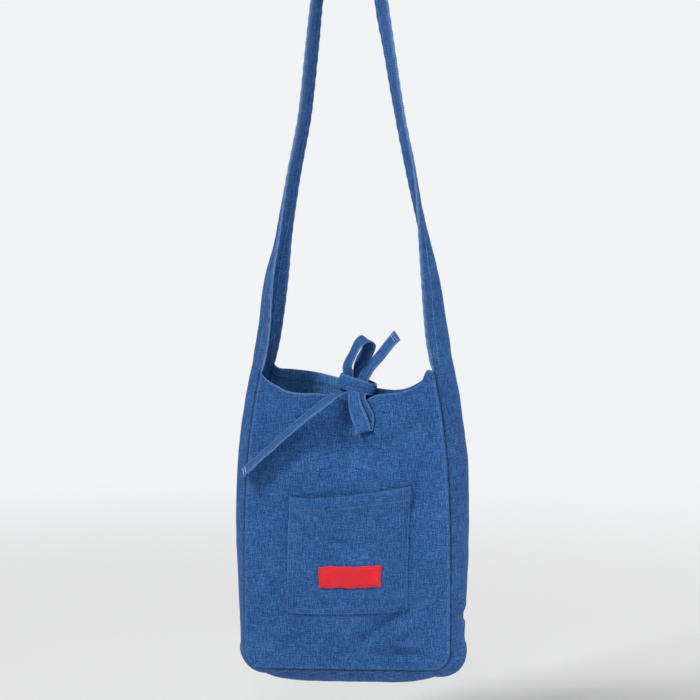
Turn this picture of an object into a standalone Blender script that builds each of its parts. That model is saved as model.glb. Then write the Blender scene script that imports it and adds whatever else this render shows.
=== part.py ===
"""Denim tote bag, hung by its own shoulder strap with its bow tied.

Metres, +Z up, -Y the front. The origin is the top of the strap's loop, on the side that bears
on a hook. Every piece is modelled from the line of the mouth's corners and hung below the
origin by the strap's drop.
"""

import bmesh
import bpy
from math import cos, exp, pi, radians, sin, sqrt
from mathutils import Vector

# Driving dimensions, in metres and radians
STRAP_DROP = 0.600
BODY_HEIGHT = 0.362
MOUTH_HALF_WIDTH = 0.104
BASE_HALF_WIDTH = 0.1255
GUSSET_DEPTH = 0.076
CORNER_RADIUS = 0.022
CLOTH = 0.0012
SEAM_GAP = 0.0003
FACET_ALLOWANCE = 0.0002
HEM_WIDTH = 0.010
HEM_THICKNESS = 0.0024
LOOP_RADIUS = 0.030
HANG_TILT = 0.030
GUSSET_SWELL = 0.018
CORNER_SWELL = 0.006
BASE_SAG = 0.016
PANEL_BELLY = 0.013
MOUTH_HEM = 0.012
MOUTH_PULL_REACH = 0.075
TIE_WIDTH = 0.019
TIE_THICKNESS = 0.0018
KNOT_TIE_WIDTH = 0.014
BAND_WIDTH = 0.018
BAND_HALF_LENGTH = 0.0218
BAND_HALF_DEPTH = 0.0085
BAND_TILT = radians(-16)
KNOT_CENTRE = (0.007, -0.003, -0.0205)
POCKET_TOP_WIDTH = 0.146
POCKET_BASE_WIDTH = 0.148
POCKET_HEIGHT = 0.147
POCKET_TOP = -0.1445
POCKET_OFFSET = 0.004
POCKET_RISE = 0.0195
POCKET_HEM = 0.016
POCKET_GAPE = 0.0110
LABEL_WIDTH = 0.075
LABEL_HEIGHT = 0.0265
LABEL_THICKNESS = 0.0008
LABEL_X = 0.0065
LABEL_Z = -0.2465

HALF_DEPTH = GUSSET_DEPTH / 2
PANEL_SEAM = HALF_DEPTH + SEAM_GAP + CLOTH

# Top edge of each panel: across, drop below the corner's line, place in depth
FRONT_EDGE = (
    (-MOUTH_HALF_WIDTH, 0.0, -PANEL_SEAM),
    (-0.097, -0.009, -0.038),
    (-0.086, -0.016, -0.038),
    (-0.072, -0.0235, -0.037),
    (-0.052, -0.0265, -0.034),
    (-0.034, -0.0280, -0.0262),
    (-0.016, -0.0325, -0.0172),
    (0.002, -0.0390, -0.0125),
    (0.016, -0.0405, -0.0120),
    (0.022, -0.0360, -0.0125),
    (0.032, -0.0315, -0.0150),
    (0.060, -0.0275, -0.0225),
    (0.080, -0.0190, -0.0300),
    (0.095, -0.0050, -0.0360),
    (MOUTH_HALF_WIDTH, 0.0, -PANEL_SEAM),
)
BACK_EDGE = (
    (-MOUTH_HALF_WIDTH, 0.0, PANEL_SEAM),
    (-0.097, -0.0050, 0.038),
    (-0.082, -0.0060, 0.036),
    (-0.052, -0.0085, 0.028),
    (-0.030, -0.0120, 0.020),
    (0.006, -0.0210, 0.0140),
    (0.030, -0.0270, 0.0125),
    (0.058, -0.0285, 0.0110),
    (0.078, -0.0215, 0.0190),
    (0.091, -0.0100, 0.0320),
    (0.099, -0.0030, 0.0385),
    (MOUTH_HALF_WIDTH, 0.0, PANEL_SEAM),
)

# Strap above the mouth: height, half span, width, curl, twist of the right and left strands
STRAP_STATIONS = (
    (0.0, MOUTH_HALF_WIDTH, GUSSET_DEPTH, GUSSET_SWELL, 0.0, 0.0),
    (0.012, 0.0970, 0.071, 0.0215, 0.0, 0.0),
    (0.044, 0.0935, 0.066, 0.020, 0.0, radians(1)),
    (0.112, 0.0870, 0.057, 0.0145, radians(2), radians(4)),
    (0.163, 0.0810, 0.052, 0.0095, radians(8), radians(6)),
    (0.230, 0.0715, 0.048, 0.0050, radians(20), radians(8)),
    (0.302, 0.0580, 0.046, 0.0025, radians(22), radians(8)),
    (0.374, 0.0480, 0.044, 0.0015, radians(25), radians(9)),
    (0.446, 0.0385, 0.043, 0.0010, radians(28), radians(7)),
    (0.520, 0.0320, 0.043, 0.0005, radians(14), radians(4)),
    (STRAP_DROP - LOOP_RADIUS, LOOP_RADIUS, 0.043, 0.0, 0.0, 0.0),
)

# Swell of the gusset down the side: share of the body's height, swell
SWELL_STATIONS = (
    (0.0, GUSSET_SWELL),
    (0.37, 0.0190),
    (0.60, 0.0165),
    (0.80, 0.0140),
    (0.94, CORNER_SWELL),
    (1.0, CORNER_SWELL),
)

# Soft folds of a panel: start (across, height), end (across, height), height, half width
FRONT_FOLDS = (
    ((0.098, -0.020), (0.070, -0.075), 0.0035, 0.008),
    ((0.100, -0.030), (0.104, -0.250), 0.0040, 0.008),
    ((-0.098, -0.020), (-0.080, -0.060), 0.0030, 0.008),
    ((-0.112, -0.245), (-0.080, -0.290), 0.0040, 0.009),
    ((0.025, -0.335), (0.090, -0.332), 0.0040, 0.008),
    ((0.020, -0.330), (0.060, -0.300), 0.0030, 0.009),
    ((0.008, -0.060), (0.018, -0.115), -0.0050, 0.014),
    ((-0.060, -0.080), (-0.005, -0.060), -0.0045, 0.014),
    ((-0.112, -0.120), (-0.114, -0.230), 0.0030, 0.009),
)
BACK_FOLDS = (
    ((-0.094, -0.020), (-0.060, -0.070), 0.0035, 0.010),
    ((0.094, -0.025), (0.062, -0.075), 0.0035, 0.010),
    ((-0.108, -0.100), (-0.112, -0.240), 0.0030, 0.010),
    ((0.108, -0.110), (0.112, -0.250), 0.0030, 0.010),
    ((-0.080, -0.332), (0.010, -0.336), 0.0035, 0.010),
    ((0.006, -0.050), (0.004, -0.110), -0.0045, 0.016),
)

DENIM = ("denim", (0.030, 0.098, 0.275), 0.85)
TIE_DENIM = ("tie_denim", (0.036, 0.112, 0.300), 0.80)
LABEL_RED = ("label_red", (0.640, 0.014, 0.030), 0.60)


def clear_scene():
    """Remove whatever the scene starts with."""
    for existing in list(bpy.data.objects):
        bpy.data.objects.remove(existing, do_unlink=True)


def make_collection(name):
    """Add a collection to the scene."""
    collection = bpy.data.collections.new(name)
    bpy.context.scene.collection.children.link(collection)
    return collection


def make_material(finish):
    """Make a Principled material from a name, a colour and a roughness."""
    name, colour, roughness = finish
    found = bpy.data.materials.get(name)
    if found:
        return found
    material = bpy.data.materials.new(name)
    material.use_nodes = True
    shader = material.node_tree.nodes["Principled BSDF"]
    shader.inputs["Base Color"].default_value = (*colour, 1.0)
    shader.inputs["Roughness"].default_value = roughness
    shader.inputs["Metallic"].default_value = 0.0
    material.diffuse_color = (*colour, 1.0)
    return material


def smooth(rows, at):
    """Read the values of a table of stations at a place, on a curve through them all."""
    if at <= rows[0][0]:
        return list(rows[0][1:])
    if at >= rows[-1][0]:
        return list(rows[-1][1:])
    index = next(i for i in range(len(rows) - 1) if rows[i + 1][0] > at)
    low, high = rows[index], rows[index + 1]
    span = high[0] - low[0]
    t = (at - low[0]) / span
    before = rows[max(index - 1, 0)]
    after = rows[min(index + 2, len(rows) - 1)]
    values = []
    for column in range(1, len(low)):
        slope_low = (high[column] - before[column]) / (high[0] - before[0]) * span
        slope_high = (after[column] - low[column]) / (after[0] - low[0]) * span
        values.append(
            (2 * t**3 - 3 * t**2 + 1) * low[column]
            + (t**3 - 2 * t**2 + t) * slope_low
            + (3 * t**2 - 2 * t**3) * high[column]
            + (t**3 - t**2) * slope_high
        )
    return values


def hung(x, y, z):
    """A point of the bag as it hangs, a little higher on its right."""
    return Vector((x, y, z + HANG_TILT * x))


def side_half_width(z):
    """Half the body's width at a height, from the narrower mouth to the full base."""
    share = min(max(-z / BODY_HEIGHT, 0.0), 1.0)
    return MOUTH_HALF_WIDTH + (BASE_HALF_WIDTH - MOUTH_HALF_WIDTH) * (1 - (1 - share) ** 4)


def outline_half_width(z):
    """Half the panel's width at a height, with its bottom corners rounded."""
    into_corner = -z - (BODY_HEIGHT - CORNER_RADIUS)
    width = side_half_width(z)
    if into_corner > 0:
        width -= CORNER_RADIUS - sqrt(max(CORNER_RADIUS**2 - into_corner**2, 0.0))
    return width


def fold_height(folds, x, z):
    """How far the soft folds lift the cloth at a place on a panel."""
    lift = 0.0
    for (x0, z0), (x1, z1), height, half_width in folds:
        along = ((x - x0) * (x1 - x0) + (z - z0) * (z1 - z0)) / ((x1 - x0) ** 2 + (z1 - z0) ** 2)
        nearest = min(max(along, 0.0), 1.0)
        gap = sqrt((x - x0 - nearest * (x1 - x0)) ** 2 + (z - z0 - nearest * (z1 - z0)) ** 2)
        lift += height * sin(pi * (0.15 + 0.7 * nearest)) * exp(-((gap / half_width) ** 2))
    return lift


def panel_point(edge, folds, side, u, v):
    """A point on a panel's outer face: u across from -1 to 1, v down from the edge to the base."""
    level = -BODY_HEIGHT * v
    x = u * outline_half_width(level)
    drop, edge_y = smooth(edge, x)
    z = level + drop * (1 - v) ** 2
    seamward = 1 - abs(u) ** 2.6
    fill = (0.30 + 0.70 * min(v / 0.5, 1.0)) * (1 - v**5)
    free = min(seamward, 1 - v**8)
    depth = PANEL_SEAM + PANEL_BELLY * seamward * fill + free * fold_height(folds, x, z)
    pull = exp(-(((drop - z) / MOUTH_PULL_REACH) ** 2))
    y = side * depth + (edge_y - side * depth) * pull
    return x, y, z


def front_face(x, z):
    """Depth of the front panel's outer face at a place, found by stepping down its column."""
    level = z
    for _ in range(12):
        u = x / outline_half_width(min(level, 0.0))
        point = panel_point(FRONT_EDGE, FRONT_FOLDS, -1, u, -level / BODY_HEIGHT)
        level = min(level + (z - point[2]), 0.0)
    return point[1]


def grid_object(name, collection, rows, columns, place, finish):
    """Make an open sheet whose points a function places from its share across and down."""
    mesh = bpy.data.meshes.new(name)
    points = []
    for row in range(rows + 1):
        for column in range(columns + 1):
            points.append(place(column / columns, row / rows))
    faces = []
    for row in range(rows):
        for column in range(columns):
            corner = row * (columns + 1) + column
            faces.append((corner, corner + 1, corner + columns + 2, corner + columns + 1))
    mesh.from_pydata(points, [], faces)
    mesh.materials.append(make_material(finish))
    mesh.shade_smooth()
    sheet = bpy.data.objects.new(name, mesh)
    collection.objects.link(sheet)
    return sheet


def thicken(sheet, thickness, towards, hem_rows=0, columns=0, seam_columns=0):
    """Give a sheet its thickness, towards +1 back or -1 front, thicker on the hem of its top rows."""
    solidify = sheet.modifiers.new("cloth", "SOLIDIFY")
    solidify.thickness = HEM_THICKNESS if hem_rows else thickness
    solidify.offset = towards
    solidify.use_even_offset = False
    if hem_rows:
        hem = sheet.vertex_groups.new(name="hem")
        for row in range(hem_rows):
            first = row * (columns + 1)
            inner = range(first + seam_columns, first + columns + 1 - seam_columns)
            hem.add(list(inner), 1.0, "REPLACE")
        solidify.vertex_group = hem.name
        solidify.thickness_vertex_group = thickness / HEM_THICKNESS


def hem_spaced(share, count, hem_share, hem_count):
    """Space rows so that the first few fall on a hem and the rest spread evenly below it."""
    row = share * count
    if row <= hem_count:
        return hem_share * row / hem_count
    return hem_share + (1 - hem_share) * (row - hem_count) / (count - hem_count)


def build_panel(name, collection, edge, folds, side):
    """Front or back panel: one sheet with rounded bottom corners and a scooped, hemmed top."""
    rows, columns, hem_rows = 24, 20, 2
    corner_rows = 4
    corner_share = CORNER_RADIUS / BODY_HEIGHT
    straight = (rows - corner_rows) / rows

    def place(across, down):
        u = 2 * across - 1
        u = sin(u * pi / 2) * 0.35 + u * 0.65
        if down <= straight:
            v = hem_spaced(down / straight, rows - corner_rows, MOUTH_HEM / BODY_HEIGHT, hem_rows)
            v *= 1 - corner_share
        else:
            angle = (down - straight) / (1 - straight) * pi / 2
            v = 1 - corner_share * (1 - sin(angle))
        return hung(*panel_point(edge, folds, side, u, v))

    panel = grid_object(name, collection, rows, columns, place, DENIM)
    thicken(panel, CLOTH, -side, hem_rows + 1, columns, 2)
    return panel


def half_ring_path():
    """Stations of the gusset and strap from the middle of the base up the right side."""
    stations = []
    flat = BASE_HALF_WIDTH - CORNER_RADIUS
    for step in range(8):
        x = flat * step / 8
        sag = CORNER_SWELL + (BASE_SAG - CORNER_SWELL) * (1 - (x / flat) ** 4)
        stations.append((x, -BODY_HEIGHT, GUSSET_DEPTH, sag, 0.0, 0.0, CLOTH))
    for step in range(6):
        angle = step / 5 * pi / 2
        x = flat + CORNER_RADIUS * sin(angle)
        z = -BODY_HEIGHT + CORNER_RADIUS * (1 - cos(angle))
        stations.append((x, z, GUSSET_DEPTH, CORNER_SWELL, 0.0, 0.0, CLOTH))
    side = 15
    lowest = -(BODY_HEIGHT - CORNER_RADIUS)
    for step in range(1, side + 1):
        z = lowest * (1 - step / side)
        swell = smooth(SWELL_STATIONS, -z / BODY_HEIGHT)[0]
        stations.append((side_half_width(z), z, GUSSET_DEPTH, swell, 0.0, 0.0, CLOTH))
    strand = 20
    straight = STRAP_DROP - LOOP_RADIUS
    for step in range(strand + 1):
        height = straight * (step / strand) ** 1.15 if step else HEM_THICKNESS
        span, width, curl, right, left = smooth(STRAP_STATIONS, height)
        stations.append((span, height, width, curl, right, left, HEM_THICKNESS))
    rise = LOOP_RADIUS + HEM_THICKNESS
    top_width = STRAP_STATIONS[-1][2]
    for step in range(1, 6):
        angle = step / 5 * pi / 2
        x = LOOP_RADIUS * cos(angle)
        z = straight + rise * sin(angle)
        stations.append((x, z, top_width, 0.0, 0.0, 0.0, HEM_THICKNESS))
    return stations


def ring_section(station, normal, mirrored):
    """Closed section of the gusset or strap: the outer face across, then the inner face back."""
    x, z, width, swell, right, left, hem = station
    twist = left if mirrored else right
    fold = 1 - 2 * HEM_WIDTH / width
    step = 2 * HEM_THICKNESS / width / 4
    places = [-1, -fold - step, -fold + step, -fold / 2, 0, fold / 2, fold - step, fold + step, 1]

    def face_point(u):
        along = u * width / 2
        return along * cos(twist), swell * (1 - abs(u) ** 2.2) - along * sin(twist)

    outer, inner = [], []
    for u in places:
        y, out = face_point(u)
        y_next, out_next = face_point(u + 0.01)
        run = Vector((y_next - y, out_next - out)).normalized()
        thickness = hem if abs(u) > fold else CLOTH
        outer.append((y, out))
        inner.append((y + run.y * thickness, out - run.x * thickness))
    flip = -1 if mirrored else 1
    points = []
    for y, out in outer + inner[::-1]:
        points.append(hung(flip * (x + normal.x * out), y, z + normal.y * out))
    return points


def build_gusset_strap(collection):
    """One strip round the sides and the base that goes on as the shoulder strap."""
    half = half_ring_path()
    normals = []
    for index, station in enumerate(half):
        before = half[max(index - 1, 0)]
        after = half[min(index + 1, len(half) - 1)]
        run = Vector((after[0] - before[0], after[1] - before[1])).normalized()
        normals.append(Vector((run.y, -run.x)))
    normals[0] = Vector((0.0, -1.0))
    normals[-1] = Vector((0.0, 1.0))
    sections = [ring_section(s, n, False) for s, n in zip(half, normals)]
    back = list(zip(half, normals))[1:-1]
    sections += [ring_section(s, n, True) for s, n in reversed(back)]
    return loft("gusset_strap", collection, sections, True, DENIM)


def loft(name, collection, sections, ring, finish):
    """Skin a row of closed sections, joined end to end or capped."""
    count = len(sections[0])
    points = [point for section in sections for point in section]
    faces = []
    rows = len(sections) if ring else len(sections) - 1
    for row in range(rows):
        following = (row + 1) % len(sections)
        for column in range(count):
            beside = (column + 1) % count
            faces.append(
                (
                    row * count + column,
                    row * count + beside,
                    following * count + beside,
                    following * count + column,
                )
            )
    if not ring:
        half = count // 2
        for first in (0, (len(sections) - 1) * count):
            for column in range(half - 1):
                faces.append(
                    (
                        first + column,
                        first + column + 1,
                        first + count - 2 - column,
                        first + count - 1 - column,
                    )
                )
    mesh = bpy.data.meshes.new(name)
    mesh.from_pydata(points, [], faces)
    face_outward(mesh)
    mesh.materials.append(make_material(finish))
    mesh.shade_smooth()
    mesh.set_sharp_from_angle(angle=radians(50))
    solid = bpy.data.objects.new(name, mesh)
    collection.objects.link(solid)
    return solid


def face_outward(mesh):
    """Turn a closed mesh's faces so that they all point out."""
    work = bmesh.new()
    work.from_mesh(mesh)
    bmesh.ops.recalc_face_normals(work, faces=work.faces)
    work.to_mesh(mesh)
    work.free()


def ribbon(name, collection, route, sections, finish):
    """A flat sewn tie along a route of (place, way its width runs, width)."""
    chords = [0.0]
    for (place, _, _), (following, _, _) in zip(route, route[1:]):
        chords.append(chords[-1] + (Vector(following) - Vector(place)).length)
    rows = [(c, *place, *across, width) for c, (place, across, width) in zip(chords, route)]
    total = chords[-1]
    shapes = []
    for step in range(sections + 1):
        at = total * step / sections
        values = smooth(rows, at)
        before = Vector(smooth(rows, max(at - total / 400, 0.0))[:3])
        after = Vector(smooth(rows, min(at + total / 400, total))[:3])
        along = (after - before).normalized()
        across = Vector(values[3:6])
        across = (across - along * across.dot(along)).normalized()
        facing = along.cross(across)
        centre = Vector(values[:3])
        half_width = values[6] / 2
        half_thickness = TIE_THICKNESS / 2
        shape = []
        for side in (1, -1):
            for share in (-1.0, -0.55, 0.0, 0.55, 1.0):
                edge = 0.55 if abs(share) == 1.0 else 1.0
                lift = facing * side * half_thickness * edge
                shape.append(centre + across * side * share * half_width + lift)
        shapes.append([hung(*point) for point in shape])
    return loft(name, collection, shapes, False, finish)


def band_loop(collection):
    """The tie's turn round the bundle: a closed flat loop, lower on its right."""
    cx, cy, cz = KNOT_CENTRE
    steps = 28
    shapes = []
    for step in range(steps):
        angle = 2 * pi * step / steps
        c, s = cos(angle), sin(angle)
        x = BAND_HALF_LENGTH * abs(c) ** 0.75 * (1 if c > 0 else -1)
        y = BAND_HALF_DEPTH * abs(s) ** 0.75 * (1 if s > 0 else -1)
        out = Vector((c / BAND_HALF_LENGTH, s / BAND_HALF_DEPTH, 0)).normalized()
        width = BAND_WIDTH * (1 - 0.22 * max(c, 0.0))
        shape = []
        for share in (-1.0, -0.5, 0.0, 0.5, 1.0):
            shape.append((share, 1.0))
        for share in (1.0, 0.5, 0.0, -0.5, -1.0):
            shape.append((share, -1.0))
        points = []
        for share, face in shape:
            edge = 0.6 if abs(share) == 1.0 else 1.0
            crown = 0.0008 * (1 - share**2)
            lift = crown + face * edge * TIE_THICKNESS / 2
            px = x + out.x * lift
            py = y + out.y * lift
            pz = share * width / 2
            points.append(
                hung(
                    cx + px * cos(BAND_TILT) - pz * sin(BAND_TILT),
                    cy + py,
                    cz + px * sin(BAND_TILT) + pz * cos(BAND_TILT),
                )
            )
        shapes.append(points)
    return loft("band_loop", collection, shapes, True, TIE_DENIM)


def join(target, *operands):
    """Unite other closed bodies with a piece."""
    for operand in operands:
        union = target.modifiers.new(operand.name, "BOOLEAN")
        union.operation = "UNION"
        union.object = operand
        union.use_self = True
        operand.hide_render = True
        operand.display_type = "WIRE"


def ahead(x, z, clearance):
    """A place in front of the front panel's face."""
    return (x, front_face(x, z) - clearance, z)


def build_front_tie(collection):
    """Front tie: out of the front edge, up through the knot, over the upper loop, down as a tail."""
    level = (1.0, 0.0, 0.0)
    knot = KNOT_TIE_WIDTH
    inside = HEM_THICKNESS + SEAM_GAP + TIE_THICKNESS / 2 + 0.0004
    low = FRONT_EDGE[8][1] - MOUTH_HEM
    cx, cy, cz = KNOT_CENTRE
    back_layer = cy + 0.0030
    mid_layer = cy - 0.0008
    edge_on = (0.28, -0.84, 0.42)
    route = [
        ((0.010, front_face(0.010, low) + inside, low), level, TIE_WIDTH),
        ((0.010, front_face(0.010, low + 0.010) + inside + 0.0003, low + 0.010), level, TIE_WIDTH),
        ((0.009, back_layer - 0.003, cz - 0.012), level, knot),
        ((0.008, back_layer, cz), (0.97, -0.1, -0.15), knot),
        ((0.0085, back_layer + 0.001, cz + 0.014), (0.92, -0.25, -0.2), knot + 0.002),
        ((0.0110, 0.0062, 0.006), (0.87, -0.40, -0.2), TIE_WIDTH),
        ((0.0158, 0.0075, 0.020), (0.85, -0.42, -0.25), TIE_WIDTH),
        ((0.0185, 0.0062, 0.032), (0.80, -0.5, -0.35), TIE_WIDTH),
        ((0.0165, 0.0000, 0.0385), (0.72, -0.6, -0.35), TIE_WIDTH),
        ((0.0110, -0.0055, 0.0340), (0.64, -0.72, -0.2), TIE_WIDTH),
        ((0.0050, -0.0085, 0.020), (0.60, -0.78, 0.0), TIE_WIDTH),
        ((-0.0020, -0.0070, 0.004), (0.66, -0.72, 0.0), TIE_WIDTH),
        ((-0.0036, mid_layer - 0.0015, cz + 0.013), (0.9, -0.3, 0.15), knot),
        ((-0.0036, mid_layer, cz), (0.97, 0.0, 0.2), knot),
        ((-0.0088, mid_layer - 0.0040, cz - 0.0092), (0.95, -0.1, 0.2), knot - 0.001),
        ((-0.0165, -0.0275, -0.0272), (0.75, -0.55, 0.25), knot),
        ((-0.0265, -0.0430, -0.0365), (0.35, -0.80, 0.45), TIE_WIDTH),
        ((-0.0400, -0.0505, -0.0475), edge_on, TIE_WIDTH),
        ((-0.0570, -0.0560, -0.0610), edge_on, TIE_WIDTH),
        ((-0.0790, -0.0610, -0.0820), edge_on, TIE_WIDTH),
        ((-0.1030, -0.0620, -0.1040), edge_on, TIE_WIDTH),
        ((-0.1290, -0.0610, -0.1270), edge_on, TIE_WIDTH),
    ]
    return ribbon("front_tie", collection, route, 62, TIE_DENIM)


def build_back_tie(collection, helpers):
    """Back tie: out of the back edge, round the knot as its band, down as the lower loop and up."""
    cx, cy, cz = KNOT_CENTRE
    knot = KNOT_TIE_WIDTH
    front_wall = cy - BAND_HALF_DEPTH
    rear_wall = cy + BAND_HALF_DEPTH
    edge_drop, edge_y = smooth(BACK_EDGE, 0.006)
    inside = HEM_THICKNESS + SEAM_GAP + TIE_THICKNESS / 2 + 0.0008
    level = (1.0, -0.05, -0.1)
    root_route = [
        ((0.006, edge_y - inside + 0.0006, edge_drop - MOUTH_HEM), level, TIE_WIDTH),
        ((0.006, edge_y - inside - 0.0001, edge_drop - 0.003), level, TIE_WIDTH),
        ((0.006, rear_wall + 0.0009, cz + 0.0055), level, TIE_WIDTH - 0.002),
    ]
    root = ribbon("back_tie_root", helpers, root_route, 4, TIE_DENIM)
    down = (0.97, -0.14, 0.10)
    fold = (0.95, -0.13, 0.22)
    loop_route = [
        ((0.0030, front_wall + 0.0011, cz + 0.002), level, knot),
        ((0.0037, front_wall - 0.0002, cz - 0.007), level, knot),
        ((0.0054, front_wall - 0.0050, cz - 0.013), level, knot),
        (ahead(0.0070, -0.0430, 0.0085), down, TIE_WIDTH - 0.002),
        (ahead(0.0110, -0.0570, 0.0115), down, TIE_WIDTH),
        (ahead(0.0150, -0.0690, 0.0125), down, TIE_WIDTH),
        (ahead(0.0172, -0.0775, 0.0105), fold, TIE_WIDTH),
        (ahead(0.0180, -0.0785, 0.0072), fold, TIE_WIDTH),
        (ahead(0.0190, -0.0720, 0.0052), down, TIE_WIDTH),
        (ahead(0.0195, -0.0600, 0.0048), down, TIE_WIDTH),
        (ahead(0.0168, -0.0470, 0.0054), down, TIE_WIDTH - 0.003),
        ((0.0130, front_wall - 0.0041, cz - 0.0165), (1.0, -0.08, 0.0), knot - 0.001),
        ((0.0125, front_wall + 0.0022, cz - 0.0080), level, knot - 0.001),
        ((0.0135, front_wall + 0.0038, cz), level, knot - 0.001),
        ((0.0160, front_wall + 0.0045, cz + 0.010), (0.9, -0.2, -0.35), knot),
        ((0.0228, -0.0072, 0.0000), (0.58, -0.68, -0.45), TIE_WIDTH - 0.002),
        ((0.0364, -0.0080, 0.0160), (0.50, -0.75, -0.42), TIE_WIDTH),
        ((0.0475, -0.0075, 0.0300), (0.50, -0.75, -0.42), TIE_WIDTH),
        ((0.0560, -0.0080, 0.0395), (0.55, -0.70, -0.45), TIE_WIDTH),
    ]
    loop = ribbon("back_tie_loop", helpers, loop_route, 44, TIE_DENIM)
    band = band_loop(collection)
    band.name = "back_tie"
    join(band, root, loop)
    return band


def pocket_place(across, down):
    """A point on the pocket: outer face ahead of the panel, standing off along its mouth."""
    u = 2 * across - 1
    half = (POCKET_TOP_WIDTH + (POCKET_BASE_WIDTH - POCKET_TOP_WIDTH) * down) / 2
    x = POCKET_OFFSET * (1 - down) + u * half
    wave = 0.0022 * sin(pi * (across * 1.3 - 0.35))
    top = POCKET_TOP + POCKET_RISE * u / 2 + wave
    base = POCKET_TOP - POCKET_HEIGHT - 0.0025 * (1 - u**2) + 0.002 * u
    z = top + (base - top) * down
    gape = POCKET_GAPE * (1 - u**4) * exp(-((down / 0.16) ** 2))
    return x, z, gape


def build_pocket(collection):
    """Patch pocket on the front panel, its hemmed mouth standing a little open."""
    rows, columns, hem_rows = 11, 12, 1
    stand = SEAM_GAP + FACET_ALLOWANCE

    def place(across, down):
        v = hem_spaced(down, rows, POCKET_HEM / POCKET_HEIGHT, hem_rows)
        x, z, gape = pocket_place(across, v)
        return hung(x, front_face(x, z) - stand - gape, z)

    pocket = grid_object("front_pocket", collection, rows, columns, place, DENIM)
    thicken(pocket, CLOTH, -1, hem_rows + 1, columns)
    return pocket


def build_label(collection):
    """Bare woven label, sewn flat to the pocket."""
    stand = CLOTH + 2 * (SEAM_GAP + FACET_ALLOWANCE)

    def place(across, down):
        x = LABEL_X + (across - 0.5) * LABEL_WIDTH
        z = LABEL_Z + (0.5 - down) * LABEL_HEIGHT + 0.0006 * sin(across * 9.0)
        return hung(x, front_face(x, z) - stand, z)

    label = grid_object("pocket_label", collection, 3, 8, place, LABEL_RED)
    thicken(label, LABEL_THICKNESS, -1)
    return label


def main():
    """Build the bag and hang it below the origin."""
    clear_scene()
    bag = make_collection("tote_bag")
    helpers = make_collection("cutters")
    mouth = bpy.data.objects.new("mouth_line", None)
    mouth.location = (0.0, 0.0, -STRAP_DROP)
    bag.objects.link(mouth)
    pieces = [
        build_panel("front_panel", bag, FRONT_EDGE, FRONT_FOLDS, -1),
        build_panel("back_panel", bag, BACK_EDGE, BACK_FOLDS, 1),
        build_gusset_strap(bag),
        build_pocket(bag),
        build_label(bag),
        build_front_tie(bag),
        build_back_tie(bag, helpers),
    ]
    for piece in pieces + list(helpers.objects):
        piece.parent = mouth


main()
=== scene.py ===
"""Denim tote bag hung by its own strap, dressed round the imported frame.

Every piece is built in the mouth's frame: x across, y from front to back, z up from the line of
the mouth's corners. BagForm.hung turns such a place into the frame's own coordinates.
"""

import logging
from dataclasses import dataclass, field
from enum import Enum
from functools import partial
from itertools import product
from math import cos, exp, pi, radians, sin, sqrt
from typing import Callable, Iterable, Sequence

import bpy
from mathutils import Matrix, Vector, noise


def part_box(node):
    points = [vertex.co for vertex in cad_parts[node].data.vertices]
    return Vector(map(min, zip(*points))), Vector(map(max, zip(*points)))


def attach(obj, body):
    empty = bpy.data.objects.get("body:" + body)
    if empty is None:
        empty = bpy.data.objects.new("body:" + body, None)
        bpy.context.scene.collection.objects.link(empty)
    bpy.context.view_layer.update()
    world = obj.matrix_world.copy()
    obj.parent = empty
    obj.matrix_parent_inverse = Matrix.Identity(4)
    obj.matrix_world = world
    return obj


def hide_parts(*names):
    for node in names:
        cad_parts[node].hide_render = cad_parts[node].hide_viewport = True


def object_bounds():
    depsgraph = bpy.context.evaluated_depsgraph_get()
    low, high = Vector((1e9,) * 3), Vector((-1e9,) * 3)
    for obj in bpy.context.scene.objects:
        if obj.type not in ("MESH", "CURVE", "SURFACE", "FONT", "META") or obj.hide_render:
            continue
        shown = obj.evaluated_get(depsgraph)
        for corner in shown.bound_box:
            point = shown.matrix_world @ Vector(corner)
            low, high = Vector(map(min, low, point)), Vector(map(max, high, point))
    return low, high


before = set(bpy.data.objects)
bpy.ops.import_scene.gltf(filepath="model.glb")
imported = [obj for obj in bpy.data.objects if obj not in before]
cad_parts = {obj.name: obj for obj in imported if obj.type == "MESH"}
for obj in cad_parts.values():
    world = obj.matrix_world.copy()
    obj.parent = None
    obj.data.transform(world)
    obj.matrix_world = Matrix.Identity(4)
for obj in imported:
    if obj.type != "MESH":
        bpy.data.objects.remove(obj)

CAD_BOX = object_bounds()
LOG = logging.getLogger("tote_bag")

Row = tuple[float, ...]
Shell = Callable[[float, float], Vector]
SheetPoint = tuple[Vector, tuple[float, float], float]

FOLD_DEPTH = 2.3
FOLD_FADE = 3
FOLD_START, FOLD_RUN = 0.10, 0.80
SEAM_ROLL_REACH = 0.0016
STRIP_HALF = (0.2, 0.45, 0.7, 0.8, 0.9, 0.97, 1.0)
STRIP_SHARES = (*(-share for share in reversed(STRIP_HALF)), 0.0, *STRIP_HALF)
STRIP_WEAR, STRIP_WEAR_REACH = 0.8, 0.0009
STRIP_STITCH_SHARES = (-0.80, 0.80)


class Face(Enum):
    """Which face of a sewn strip a row of stitches shows on."""

    OUTER = 1
    INNER = -1


class Seed(float, Enum):
    """Seeds of the noises, one for each use."""

    STITCH = 3.1
    PANEL_SLOW = 4.0
    TIE = 5.0
    PANEL_LEAN = 9.0
    PANEL_QUICK = 17.0
    PUCKER_PHASE = 31.0
    PUCKER_STRENGTH = 47.0
    STRIP_SLOW = 61.0
    STRIP_QUICK = 67.0
    STRIP_PUCKER = 71.0
    POCKET_SLACK = 83.0
    LABEL_CROWN = 91.0


class Slot(Enum):
    """Material slots of the record."""

    BODY = "body_denim"
    TIE = "tie_denim"
    LABEL = "woven_label"


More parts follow.
